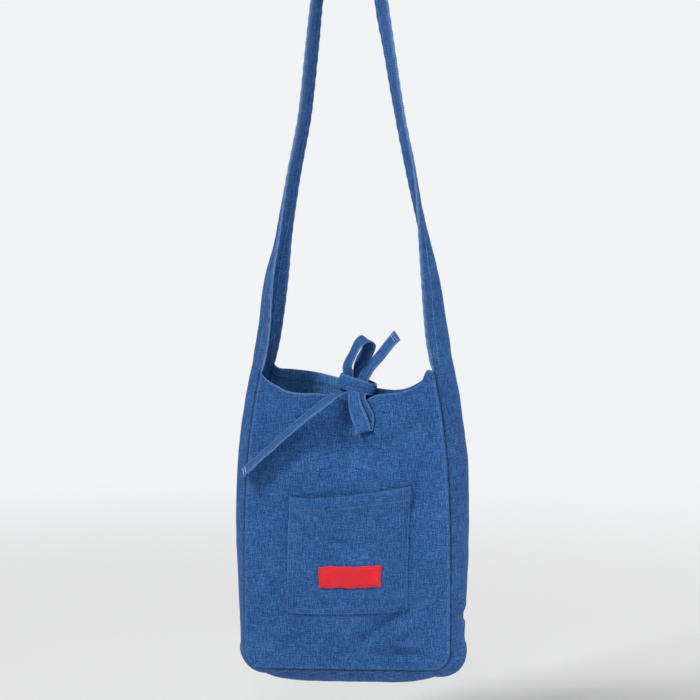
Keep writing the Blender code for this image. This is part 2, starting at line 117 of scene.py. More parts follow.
def smooth(rows: Sequence[Row], at: float) -> list[float]:
    """Read a table of stations at a place, on a curve through them all.

    Args:
        rows: stations, each with its place first and its values after it.
        at: the place to read.

    Returns:
        The values at that place.
    """
    if at <= rows[0][0]:
        return list(rows[0][1:])
    if at >= rows[-1][0]:
        return list(rows[-1][1:])
    index = next(i for i in range(len(rows) - 1) if rows[i + 1][0] > at)
    low, high = rows[index], rows[index + 1]
    before = rows[max(index - 1, 0)]
    after = rows[min(index + 2, len(rows) - 1)]
    span = high[0] - low[0]
    t = (at - low[0]) / span
    values = []
    for column in range(1, len(low)):
        slope_low = (high[column] - before[column]) / (high[0] - before[0]) * span
        slope_high = (after[column] - low[column]) / (after[0] - low[0]) * span
        values.append(
            (2 * t**3 - 3 * t**2 + 1) * low[column]
            + (t**3 - 2 * t**2 + t) * slope_low
            + (3 * t**2 - 2 * t**3) * high[column]
            + (t**3 - t**2) * slope_high
        )
    return values


def bell(gap: float, reach: float) -> float:
    """A smooth bump of height 1 that fades over a reach."""
    return exp(-((gap / reach) ** 2))


def wander(x: float, y: float, seed: float) -> float:
    """A smooth, seeded noise from about -1 to 1."""
    return noise.noise(Vector((x, y, seed)))


def edge_rounding(edge: float) -> float:
    """Share of a strip's thickness at a place across it, from 0 in its middle to 1."""
    return 1.0 if edge < 0.9 else sqrt(max(1 - ((edge - 0.9) / 0.1) ** 2, 0.0)) * 0.8 + 0.2


def pocket_slack(x: float, z: float, inward: float) -> float:
    """How far the pocket's cloth stands off, which the label on it follows.

    Args:
        x: place across.
        z: place up.
        inward: distance from the nearest edge.

    Returns:
        The stand-off in metres.
    """
    return min(inward / 0.02, 1.0) * 0.0011 * wander(x * 26, z * 20, Seed.POCKET_SLACK)


def new_mesh(
    name: str, points: Sequence, faces: Sequence, material: bpy.types.Material
) -> bpy.types.Mesh:
    """Make a mesh with one material.

    Args:
        name: its name.
        points: its points.
        faces: its faces, as the points' numbers.
        material: its finish.

    Returns:
        The mesh.
    """
    mesh = bpy.data.meshes.new(name)
    mesh.from_pydata(points, [], faces)
    mesh.materials.append(material)
    return mesh


def add_piece(mesh: bpy.types.Mesh, slot: Slot) -> bpy.types.Object:
    """Put a mesh in the scene and ride it on the root body.

    Args:
        mesh: the piece's mesh, whose name it takes.
        slot: the record's material slot; not used.

    Returns:
        The new object.
    """
    mesh.shade_smooth()
    piece = bpy.data.objects.new(mesh.name, mesh)
    bpy.context.scene.collection.objects.link(piece)
    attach(piece, "root")
    LOG.info("%s: %d faces", mesh.name, len(mesh.polygons))
    return piece


@dataclass(frozen=True)
class Fold:
    """A soft fold along a line of places: a ridge, or a hollow where its height is below 0."""

    line: tuple[tuple[float, float], ...]
    height: float
    reach: float

    def lift(self, x: float, z: float) -> float:
        """How far the fold lifts the cloth at a place.

        Args:
            x: place across.
            z: place up.

        Returns:
            The lift in metres.
        """
        spans = len(self.line) - 1
        limit = FOLD_FADE * self.reach
        nearest, share = limit, 0.0
        for index, ((x0, z0), (x1, z1)) in enumerate(zip(self.line, self.line[1:])):
            run, rise = x1 - x0, z1 - z0
            along = ((x - x0) * run + (z - z0) * rise) / (run**2 + rise**2)
            along = min(max(along, 0.0), 1.0)
            gap = sqrt((x - x0 - along * run) ** 2 + (z - z0 - along * rise) ** 2)
            if gap < nearest:
                nearest, share = gap, (index + along) / spans
        if nearest >= limit:
            return 0.0
        taper = sin(pi * (FOLD_START + FOLD_RUN * share))
        return self.height * FOLD_DEPTH * taper * bell(nearest, self.reach)


@dataclass(frozen=True)
class BagForm:
    """The shape that all the pieces share, with its sizes in metres."""

    gusset_depth: float
    body_height: float = 0.362
    mouth_half_width: float = 0.104
    base_half_width: float = 0.1255
    corner_radius: float = 0.022
    cloth: float = 0.0012
    seam_gap: float = 0.0003
    hem_thickness: float = 0.0024
    mouth_hem: float = 0.012
    tilt: float = 0.030
    belly: float = 0.013
    pull_reach: float = 0.075
    seam_roll: float = 0.0010
    strap_drop: float = 0.600

    @classmethod
    def from_frame(cls) -> "BagForm":
        """The form with its gusset's depth read from the frame."""
        low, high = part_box("gusset_strap")
        return cls(gusset_depth=high[1] - low[1])

    @property
    def panel_seam(self) -> float:
        """Depth of a panel's outer face at its seam."""
        return self.gusset_depth / 2 + self.seam_gap + self.cloth

    def hung(self, x: float, y: float, z: float) -> Vector:
        """A place of the bag as it hangs, a little higher on its right.

        Args:
            x: place across.
            y: place in depth.
            z: place up from the mouth's line.

        Returns:
            The place in the frame.
        """
        return Vector((x, y, z + self.tilt * x - self.strap_drop))

    def side_half_width(self, z: float) -> float:
        """Half the body's width at a height.

        Args:
            z: place up from the mouth's line.

        Returns:
            Half the width in metres.
        """
        share = min(max(-z / self.body_height, 0.0), 1.0)
        spread = self.base_half_width - self.mouth_half_width
        return self.mouth_half_width + spread * (1 - (1 - share) ** 4)

    def outline_half_width(self, z: float) -> float:
        """Half a panel's width at a height, its bottom corners rounded.

        Args:
            z: place up from the mouth's line.

        Returns:
            Half the width in metres.
        """
        radius = self.corner_radius
        into_corner = -z - (self.body_height - radius)
        width = self.side_half_width(z)
        if into_corner > 0:
            width -= radius - sqrt(max(radius**2 - into_corner**2, 0.0))
        return width


@dataclass
class Cloth:
    """A mesh under construction: points, faces, weave places and edge wear."""

    name: str
    points: list[Vector] = field(default_factory=list)
    faces: list[tuple[int, ...]] = field(default_factory=list)
    weave: list[tuple[float, float]] = field(default_factory=list)
    wear: list[float] = field(default_factory=list)

    def add(self, point: Vector, weave: tuple[float, float], wear: float) -> int:
        """Add a point.

        Args:
            point: its place in the frame.
            weave: its place on the cloth, in metres across and along the warp.
            wear: its edge wear, from 0 to 1.

        Returns:
            The point's index.
        """
        self.points.append(point)
        self.weave.append(weave)
        self.wear.append(wear)
        return len(self.points) - 1

    def finish(self, material: bpy.types.Material, slot: Slot) -> bpy.types.Object:
        """Make the object and ride it on the root body.

        Args:
            material: the finish that it takes.
            slot: the record's material slot; not used.

        Returns:
            The new object.
        """
        mesh = new_mesh(self.name, self.points, self.faces, material)
        layer = mesh.uv_layers.new(name="weave")
        corners = [0] * len(mesh.loops)
        mesh.loops.foreach_get("vertex_index", corners)
        layer.data.foreach_set("uv", [value for index in corners for value in self.weave[index]])
        wear = mesh.attributes.new("wear", "FLOAT", "POINT")
        wear.data.foreach_set("value", self.wear)
        return add_piece(mesh, slot)


def sheet_cloth(
    name: str,
    rows: int,
    columns: int,
    place: Callable[[float, float], SheetPoint],
) -> Cloth:
    """Lay a sheet of cloth out as a grid.

    Args:
        name: the piece's name.
        rows: how many rows of faces.
        columns: how many columns of faces.
        place: gives a point, its weave place and its wear, from its shares across and down.

    Returns:
        The sheet, one face thick.
    """
    cloth = Cloth(name)
    for row in range(rows + 1):
        for column in range(columns + 1):
            cloth.add(*place(column / columns, row / rows))
    for row in range(rows):
        for column in range(columns):
            corner = row * (columns + 1) + column
            cloth.faces.append((corner, corner + 1, corner + columns + 2, corner + columns + 1))
    return cloth


def thicken(
    sheet: bpy.types.Object,
    thickness: float,
    towards: int,
    thick: Iterable[int] = (),
    hem_thickness: float = 0.0,
    rounding: float = 0.0,
) -> None:
    """Give a sheet its thickness, more along its turned hem, and round its cut edge.

    Args:
        sheet: the piece.
        thickness: the cloth's thickness.
        towards: 1 to add it on the side that the sheet's normals face, -1 on the other.
        thick: the points that lie on the hem.
        hem_thickness: thickness of the hem.
        rounding: radius of the rounded rim.
    """
    solidify = sheet.modifiers.new("thickness", "SOLIDIFY")
    solidify.offset = towards
    solidify.use_even_offset = False
    solidify.thickness = thickness
    # The offset goes to the shell that is turned over: the sheet for 1, the new one for -1.
    # The rim keeps the outer face's finish.
    solidify.material_offset = len(sheet.data.materials) - 1
    solidify.material_offset_rim = solidify.material_offset if towards > 0 else 0
    hem = list(thick)
    if hem:
        group = sheet.vertex_groups.new(name="hem")
        group.add(hem, 1.0, "REPLACE")
        solidify.thickness = hem_thickness
        solidify.vertex_group = group.name
        solidify.thickness_vertex_group = thickness / hem_thickness
    if rounding:
        bevel = sheet.modifiers.new("rim", "BEVEL")
        bevel.width = rounding
        bevel.segments = 2
        bevel.limit_method = "ANGLE"
        bevel.angle_limit = radians(60)


@dataclass
class StitchRows:
    """Rows of thread laid on a piece, gathered into one mesh."""

    name: str
    pitch: float = 0.0031
    length: float = 0.0023
    width: float = 0.00055
    rise: float = 0.00042
    profile: tuple[Row, ...] = (
        (-0.5, -0.25, 0.7),
        (-0.25, 0.75, 1.0),
        (0.25, 0.75, 1.0),
        (0.5, -0.25, 0.7),
    )
    sides: int = 5
    points: list[Vector] = field(default_factory=list)
    faces: list[tuple[int, ...]] = field(default_factory=list)

    def stitch(self, centre: Vector, along: Vector, up: Vector, length: float) -> None:
        """Add one stitch: a short bent thread, its ends sunk in the cloth.

        Args:
            centre: the cloth's surface under its middle.
            along: its direction.
            up: the surface's normal.
            length: its length.
        """
        side = along.cross(up).normalized()
        first = len(self.points)
        for share, height, fat in self.profile:
            middle = centre + along * length * share + up * self.rise * height
            for step in range(self.sides):
                angle = 2 * pi * step / self.sides
                ring = side * cos(angle) * self.width / 2 + up * sin(angle) * self.rise * 0.5
                self.points.append(middle + ring * fat)
        sides, spans = self.sides, len(self.profile) - 1
        for ring in range(spans):
            for step in range(sides):
                a = first + ring * sides + step
                b = first + ring * sides + (step + 1) % sides
                self.faces.append((a, b, b + sides, a + sides))
        self.faces.append(tuple(first + step for step in reversed(range(sides))))
        self.faces.append(tuple(first + spans * sides + step for step in range(sides)))

    def row(self, path: Sequence[tuple[Vector, Vector]]) -> None:
        """Lay a row of stitches along a path.

        Args:
            path: places on the cloth, each with its normal.
        """
        lengths = [0.0]
        for (place, _), (following, _) in zip(path, path[1:]):
            lengths.append(lengths[-1] + (following - place).length)
        at = self.pitch / 2
        index = 0
        while at < lengths[-1] - self.length / 2:
            while lengths[index + 1] < at:
                index += 1
            span = max(lengths[index + 1] - lengths[index], 1e-9)
            share = (at - lengths[index]) / span
            (place, up), (following, next_up) = path[index], path[index + 1]
            normal = up.lerp(next_up, share).normalized()
            along = (following - place).normalized()
            jitter = 1 + 0.12 * wander(at * 900, lengths[-1] * 50, Seed.STITCH)
            self.stitch(place.lerp(following, share), along, normal, self.length * jitter)
            at += self.pitch

    def finish(self, material: bpy.types.Material, slot: Slot) -> bpy.types.Object:
        """Make the object and ride it on the root body.

        Args:
            material: the thread.
            slot: the record's material slot; not used.

        Returns:
            The new object.
        """
        return add_piece(new_mesh(self.name, self.points, self.faces, material), slot)


def shell_path(shell: Shell, shares: Iterable[tuple[float, float]]) -> list:
    """Places and normals along a path on a shell.

    Args:
        shell: gives a point from its shares across and down, facing the front.
        shares: the path.

    Returns:
        Pairs of a place and its normal.
    """
    step = 0.004
    path = []
    for across, down in shares:
        right = shell(min(across + step, 1.0), down) - shell(max(across - step, 0.0), down)
        below = shell(across, min(down + step, 1.0)) - shell(across, max(down - step, 0.0))
        path.append((shell(across, down), below.cross(right).normalized()))
    return path


class NodeGroups:
    """Shader effects that several materials share, each built once."""

    @staticmethod
    def start(name: str, inputs: dict[str, str], outputs: dict[str, str]) -> bpy.types.NodeTree:
        """Start a group with named sockets.

        Args:
            name: the group's name.
            inputs: input names with their socket types.
            outputs: output names with their socket types.

        Returns:
            The new group.
        """
        group = bpy.data.node_groups.new(name, "ShaderNodeTree")
        for label, kind in inputs.items():
            group.interface.new_socket(label, in_out="INPUT", socket_type=kind)
        for label, kind in outputs.items():
            group.interface.new_socket(label, in_out="OUTPUT", socket_type=kind)
        group.nodes.new("NodeGroupInput")
        group.nodes.new("NodeGroupOutput")
        return group

    @staticmethod
    def math(tree: bpy.types.NodeTree, operation: str, *values: object) -> bpy.types.NodeSocket:
        """Add a Math node.

        Args:
            tree: the tree that it goes in.
            operation: what it does.
            values: sockets or numbers.

        Returns:
            Its output.
        """
        node = tree.nodes.new("ShaderNodeMath")
        node.operation = operation
        for index, value in enumerate(values):
            if isinstance(value, bpy.types.NodeSocket):
                tree.links.new(value, node.inputs[index])
            else:
                node.inputs[index].default_value = value
        return node.outputs[0]

    @classmethod
    def grain(
        cls,
        tree: bpy.types.NodeTree,
        place: bpy.types.NodeSocket,
        scale: tuple[float, float],
        detail: float,
        offset: float,
    ) -> bpy.types.NodeSocket:
        """Add a noise stretched along the cloth's threads.

        Args:
            tree: the tree that it goes in.
            place: the place on the cloth, in metres.
            scale: grains for each metre across and along.
            detail: the noise's detail.
            offset: where in the noise it starts.

        Returns:
            Its value, about 0.5.
        """
        mapping = tree.nodes.new("ShaderNodeMapping")
        mapping.inputs["Scale"].default_value = (*scale, 1.0)
        mapping.inputs["Location"].default_value = (offset, offset * 0.7, offset * 0.3)
        texture = tree.nodes.new("ShaderNodeTexNoise")
        texture.inputs["Scale"].default_value = 1.0
        texture.inputs["Detail"].default_value = detail
        texture.inputs["Roughness"].default_value = 0.55
        tree.links.new(place, mapping.inputs["Vector"])
        tree.links.new(mapping.outputs["Vector"], texture.inputs["Vector"])
        return texture.outputs["Fac"]

    @staticmethod
    def ramp(
        tree: bpy.types.NodeTree, value: bpy.types.NodeSocket, stops: Sequence[tuple[float, Row]]
    ) -> bpy.types.NodeSocket:
        """Add a colour ramp.

        Args:
            tree: the tree that it goes in.
            value: what it reads.
            stops: places with their colours, from the first to the last.

        Returns:
            Its colour.
        """
        node = tree.nodes.new("ShaderNodeValToRGB")
        elements = node.color_ramp.elements
        first, *between, last = stops
        for index, (at, colour) in enumerate((first, last)):
            elements[index].position = at
            elements[index].color = (*colour, 1.0)
        for at, colour in between:
            elements.new(at).color = (*colour, 1.0)
        tree.links.new(value, node.inputs["Fac"])
        return node.outputs["Color"]

    @staticmethod
    def bump(
        tree: bpy.types.NodeTree, height: bpy.types.NodeSocket, distance: float
    ) -> bpy.types.NodeSocket:
        """Add a Bump node.

        Args:
            tree: the tree that it goes in.
            height: what it reads.
            distance: the height of its bumps in metres.

        Returns:
            Its normal.
        """
        node = tree.nodes.new("ShaderNodeBump")
        node.inputs["Distance"].default_value = distance
        tree.links.new(height, node.inputs["Height"])
        return node.outputs["Normal"]

    @staticmethod
    def weave_place(tree: bpy.types.NodeTree) -> bpy.types.NodeSocket:
        """Add the place on the cloth, in metres."""
        node = tree.nodes.new("ShaderNodeUVMap")
        node.uv_map = "weave"
        return node.outputs["UV"]

    @classmethod
    def slub_weave(cls) -> bpy.types.NodeTree:
        """Woven denim: uneven warp and weft, short twill lines and a mottled wash."""
        found = bpy.data.node_groups.get("slub_weave")
        if found:
            return found
        kinds = {"Place": "NodeSocketVector", "Contrast": "NodeSocketFloat"}
        results = {"Fleck": "NodeSocketFloat", "Height": "NodeSocketFloat"}
        group = cls.start("slub_weave", kinds, results)
        source = group.nodes["Group Input"]
        place = source.outputs["Place"]
        warp = cls.grain(group, place, (1150.0, 85.0), 2.0, 3.0)
        weft = cls.grain(group, place, (95.0, 900.0), 2.0, 11.0)
        mottle = cls.grain(group, place, (980.0, 760.0), 2.0, 23.0)
        wash = cls.grain(group, place, (22.0, 14.0), 2.0, 37.0)
        split = group.nodes.new("ShaderNodeSeparateXYZ")
        group.links.new(place, split.inputs[0])
        diagonal = cls.math(group, "ADD", split.outputs[0], split.outputs[1])
        twill = cls.math(group, "SINE", cls.math(group, "MULTIPLY", diagonal, 2 * pi / 0.00125))
        total: object = 0.0
        for value, weight in ((warp, 1.0), (weft, 0.6), (mottle, 1.35), (wash, 0.24)):
            centred = cls.math(group, "SUBTRACT", value, 0.5)
            total = cls.math(group, "MULTIPLY_ADD", centred, weight, total)
        total = cls.math(group, "MULTIPLY_ADD", twill, 0.045, total)
        fleck = cls.math(group, "MULTIPLY_ADD", total, source.outputs["Contrast"], 0.5)
        height = cls.math(group, "MULTIPLY_ADD", twill, 0.10, cls.math(group, "ADD", warp, weft))
        height = cls.math(group, "MULTIPLY_ADD", mottle, 0.9, height)
        sink = group.nodes["Group Output"]
        group.links.new(fleck, sink.inputs["Fleck"])
        group.links.new(height, sink.inputs["Height"])
        return group

    @classmethod
    def edge_wear(cls) -> bpy.types.NodeTree:
        """Patchy abrasion where folded edges rub."""
        found = bpy.data.node_groups.get("edge_wear")
        if found:
            return found
        kinds = {"Place": "NodeSocketVector", "Edge": "NodeSocketFloat"}
        group = cls.start("edge_wear", kinds, {"Wear": "NodeSocketFloat"})
        source = group.nodes["Group Input"]
        patch = cls.grain(group, source.outputs["Place"], (260.0, 260.0), 3.0, 51.0)
        sharp = cls.math(group, "MULTIPLY_ADD", patch, 2.4, -0.55)
        worn = cls.math(group, "MULTIPLY", source.outputs["Edge"], sharp)
        capped = cls.math(group, "MAXIMUM", cls.math(group, "MINIMUM", worn, 1.0), 0.0)
        group.links.new(capped, group.nodes["Group Output"].inputs["Wear"])
        return group


@dataclass(frozen=True)
class Finish:
    """A finish with one material, which is found again once it is made."""

    name: str

    def build(self) -> bpy.types.Material:
        """Make the material, or find it where it is already made.

        Returns:
            The material.
        """
        found = bpy.data.materials.get(self.name)
        if found:
            return found
        material = bpy.data.materials.new(self.name)
        material.use_nodes = True
        tree = material.node_tree
        self.dress(tree, tree.nodes["Principled BSDF"])
        return material

    def dress(self, tree: bpy.types.NodeTree, shader: bpy.types.Node) -> None:
        """Set the shader and add the nodes that feed it.

        Args:
            tree: the material's nodes.
            shader: its Principled BSDF.
        """
        raise NotImplementedError


@dataclass(frozen=True)
class DenimFinish(Finish):
    """Washed denim, with its colours in linear light."""

    dark: Row = (0.0055, 0.0340, 0.1300)
    middle: Row = (0.0165, 0.0840, 0.2700)
    light: Row = (0.0760, 0.2100, 0.4700)
    worn: Row = (0.1300, 0.2800, 0.5300)
    contrast: float = 1.0
    roughness: float = 0.86
    bump: float = 0.00013
    stops: Row = (0.18, 0.50, 0.88)

    def dress(self, tree: bpy.types.NodeTree, shader: bpy.types.Node) -> None:
        """Set the shader and add the nodes that feed it.

        Args:
            tree: the material's nodes.
            shader: its Principled BSDF.
        """
        for label, value in (
            ("Roughness", self.roughness),
            ("Specular IOR Level", 0.25),
            ("Sheen Weight", 0.05),
            ("Sheen Roughness", 0.45),
            ("Sheen Tint", (0.55, 0.70, 1.0, 1.0)),
        ):
            shader.inputs[label].default_value = value
        place = NodeGroups.weave_place(tree)
        weave = tree.nodes.new("ShaderNodeGroup")
        weave.node_tree = NodeGroups.slub_weave()
        weave.inputs["Contrast"].default_value = self.contrast
        wear = tree.nodes.new("ShaderNodeGroup")
        wear.node_tree = NodeGroups.edge_wear()
        mask = tree.nodes.new("ShaderNodeAttribute")
        mask.attribute_name = "wear"
        stops = tuple(zip(self.stops, (self.dark, self.middle, self.light)))
        colour = NodeGroups.ramp(tree, weave.outputs["Fleck"], stops)
        rub = tree.nodes.new("ShaderNodeMix")
        rub.data_type = "RGBA"
        rub.inputs["B"].default_value = (*self.worn, 1.0)
        normal = NodeGroups.bump(tree, weave.outputs["Height"], self.bump)
        for source, sink in (
            (place, weave.inputs["Place"]),
            (place, wear.inputs["Place"]),
            (mask.outputs["Fac"], wear.inputs["Edge"]),
            (wear.outputs["Wear"], rub.inputs["Factor"]),
            (colour, rub.inputs["A"]),
            (rub.outputs["Result"], shader.inputs["Base Color"]),
            (normal, shader.inputs["Normal"]),
        ):
            tree.links.new(source, sink)


@dataclass(frozen=True)
class LabelFinish(Finish):
    """Close red satin weave."""

    name: str = "red_satin_weave"
    deep: Row = (0.560, 0.002, 0.012)
    bright: Row = (0.800, 0.004, 0.022)
    roughness: float = 0.55
    bump: float = 0.00015

    def dress(self, tree: bpy.types.NodeTree, shader: bpy.types.Node) -> None:
        """Set the shader and add the nodes that feed it.

        Args:
            tree: the material's nodes.
            shader: its Principled BSDF.
        """
        shader.inputs["Roughness"].default_value = self.roughness
        shader.inputs["Sheen Weight"].default_value = 0.04
        place = NodeGroups.weave_place(tree)
        grain = NodeGroups.grain(tree, place, (320.0, 2600.0), 1.0, 5.0)
        picks = NodeGroups.grain(tree, place, (2600.0, 500.0), 1.0, 9.0)
        even = NodeGroups.math(tree, "MULTIPLY", grain, 0.6)
        total = NodeGroups.math(tree, "MULTIPLY_ADD", picks, 0.6, even)
        colour = NodeGroups.ramp(tree, total, ((0.35, self.deep), (0.80, self.bright)))
        tree.links.new(colour, shader.inputs["Base Color"])
        tree.links.new(NodeGroups.bump(tree, total, self.bump), shader.inputs["Normal"])


@dataclass(frozen=True)
class ThreadFinish(Finish):
    """Sewing thread, a little darker in places where the wash took it."""

    colour: Row
    faded: Row
    roughness: float = 0.6
    bump: float = 0.0001

    def dress(self, tree: bpy.types.NodeTree, shader: bpy.types.Node) -> None:
        """Set the shader and add the nodes that feed it.

        Args:
            tree: the material's nodes.
            shader: its Principled BSDF.
        """
        shader.inputs["Roughness"].default_value = self.roughness
        place = tree.nodes.new("ShaderNodeTexCoord").outputs["Object"]
        patches = NodeGroups.grain(tree, place, (160.0, 160.0), 2.0, 1.0)
        strands = NodeGroups.grain(tree, place, (2400.0, 2400.0), 1.0, 2.0)
        colour = NodeGroups.ramp(tree, patches, ((0.35, self.faded), (0.62, self.colour)))
        tree.links.new(colour, shader.inputs["Base Color"])
        tree.links.new(NodeGroups.bump(tree, strands, self.bump), shader.inputs["Normal"])


BODY_DENIM = DenimFinish("washed_body_denim")
# Inner faces: the body denim made about twice as light, painted light that brightens the bag's
# shaded inside.
REVERSE_DENIM_PAINTED_LIGHT = DenimFinish(
    "denim_reverse_painted_light",
    dark=(0.020, 0.090, 0.250),
    middle=(0.056, 0.205, 0.500),
    light=(0.170, 0.400, 0.700),
)
TIE_DENIM = DenimFinish("washed_tie_denim", middle=(0.022, 0.096, 0.290), contrast=0.85)
PALE_THREAD = ThreadFinish("pale_blue_thread", (0.330, 0.400, 0.620), (0.140, 0.210, 0.430))
BLUE_THREAD = ThreadFinish("mid_blue_thread", (0.110, 0.200, 0.440), (0.050, 0.120, 0.320))
WHITE_THREAD = ThreadFinish("white_thread", (0.700, 0.740, 0.820), (0.480, 0.540, 0.680))
RED_THREAD = ThreadFinish("red_thread", (0.640, 0.020, 0.035), (0.460, 0.010, 0.022))


@dataclass
class Panel:
    """A body panel: its scooped, hemmed top, its soft folds and its seam."""

    form: BagForm
    name: str
    node: str
    side: int
    edge: Sequence[Row]
    folds: Sequence[Fold]
    rows: int = 132
    columns: int = 112
    hem_end: float = 0.07
    corner_start: float = 0.86
    hem_margin: int = 6

    def ripple(self, x: float, z: float) -> float:
        """The cloth's own unevenness at a place.

        Args:
            x: place across.
            z: place up.

        Returns:
            The lift in metres.
        """
        slow = wander(x * 16, z * 11, Seed.PANEL_SLOW * self.side)
        lean = wander((x + z) * 30, (x - z) * 13, Seed.PANEL_LEAN * self.side)
        quick = wander(x * 75, z * 48, Seed.PANEL_QUICK * self.side)
        return 0.0016 * slow + 0.0012 * lean + 0.0005 * quick

    def pucker(self, along: float, inward: float) -> float:
        """Small gathers that the seam's thread draws up.

        Args:
            along: place along the seam.
            inward: distance from the seam.

        Returns:
            The lift in metres.
        """
        phase = along * 420 + 2.5 * wander(along * 40, 0.0, Seed.PUCKER_PHASE)
        strength = 0.5 + 0.5 * wander(along * 25, 1.0, Seed.PUCKER_STRENGTH)
        return 0.00055 * sin(phase) * strength * bell(inward - 0.004, 0.006)

    def point(self, u: float, v: float) -> tuple[float, float, float]:
        """A point on the outer face, in the mouth's frame.

        Args:
            u: place across, from -1 to 1.
            v: place down, from 0 at the mouth to 1 at the base seam.

        Returns:
            Its x, y and z.
        """
        form = self.form
        level = -form.body_height * v
        half = form.outline_half_width(level)
        x = u * half
        drop, edge_y = smooth(self.edge, x)
        z = level + drop * (1 - v) ** 2
        inward = min((1 - abs(u)) * half, (1 - v) * form.body_height)
        seamward = 1 - abs(u) ** 2.6
        fill = (0.30 + 0.70 * min(v / 0.5, 1.0)) * (1 - v**5)
        free = min(seamward, 1 - v**8)
        lift = sum(fold.lift(x, z) for fold in self.folds)
        loose = min(inward / 0.02, 1.0)
        depth = form.panel_seam + form.belly * seamward * fill
        depth += loose * self.ripple(x, z) + self.pucker(z if v < 0.95 else x, inward)
        depth -= form.seam_roll * bell(inward, SEAM_ROLL_REACH) * min(v / 0.02, 1.0)
        pull = bell(drop - z, form.pull_reach)
        y = self.side * depth + (edge_y - self.side * depth) * pull
        y += self.side * loose * 0.4 * self.ripple(x * 1.3, z) * pull
        y += self.side * free * lift * min(max(drop - z, 0.0) / 0.030, 1.0)
        return x, y, z

    def face(self, x: float, z: float) -> float:
        """Depth of the outer face at a place, found by stepping down its column.

        Args:
            x: place across.
            z: place up.

        Returns:
            Its y.
        """
        level = min(z, 0.0)
        y = 0.0
        for _ in range(7):
            u = x / self.form.outline_half_width(level)
            _, y, height = self.point(u, -level / self.form.body_height)
            level = min(level + (z - height), 0.0)
        return y

    def down_share(self, row: float) -> float:
        """Where a row lies, closer together at the hem and round the bottom corners.

        Args:
            row: its share of the rows.

        Returns:
            Its v.
        """
        hem = self.form.mouth_hem / self.form.body_height
        corner = self.form.corner_radius / self.form.body_height
        if row < self.hem_end:
            return hem * row / self.hem_end
        if row < self.corner_start:
            span = self.corner_start - self.hem_end
            return hem + (1 - corner - hem) * (row - self.hem_end) / span
        turn = (row - self.corner_start) / (1 - self.corner_start)
        return 1 - corner * (1 - sin(turn * pi / 2))

    def build(self) -> bpy.types.Object:
        """Build and dress the panel.

        Returns:
            The panel.
        """
        form = self.form

        def place(across: float, down: float) -> SheetPoint:
            w = 2 * across - 1
            u = 1.5 * w - 0.5 * w**3
            v = self.down_share(down)
            x, y, z = self.point(u, v)
            drop = smooth(self.edge, x)[0]
            inward = min((1 - abs(u)) * form.outline_half_width(z), (1 - v) * form.body_height)
            wear = max(bell(drop - z, 0.0014), 0.30 * bell(inward - 0.0022, 0.0012))
            return form.hung(x, y, z), (x, z), wear

        cloth = sheet_cloth(self.name, self.rows, self.columns, place)
        hem_rows = int(self.rows * self.hem_end) + 1
        width = self.columns + 1
        across = range(self.hem_margin, width - self.hem_margin)
        thick = [row * width + column for row in range(hem_rows) for column in across]
        # The inner face takes the lighter reverse denim, painted light for the shaded inside.
        finishes = [BODY_DENIM.build(), REVERSE_DENIM_PAINTED_LIGHT.build()][:: self.side]
        panel = cloth.finish(finishes[0], Slot.BODY)
        panel.data.materials.append(finishes[1])
        thicken(panel, form.cloth, -self.side, thick, form.hem_thickness, 0.0004)
        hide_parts(self.node)
        return panel


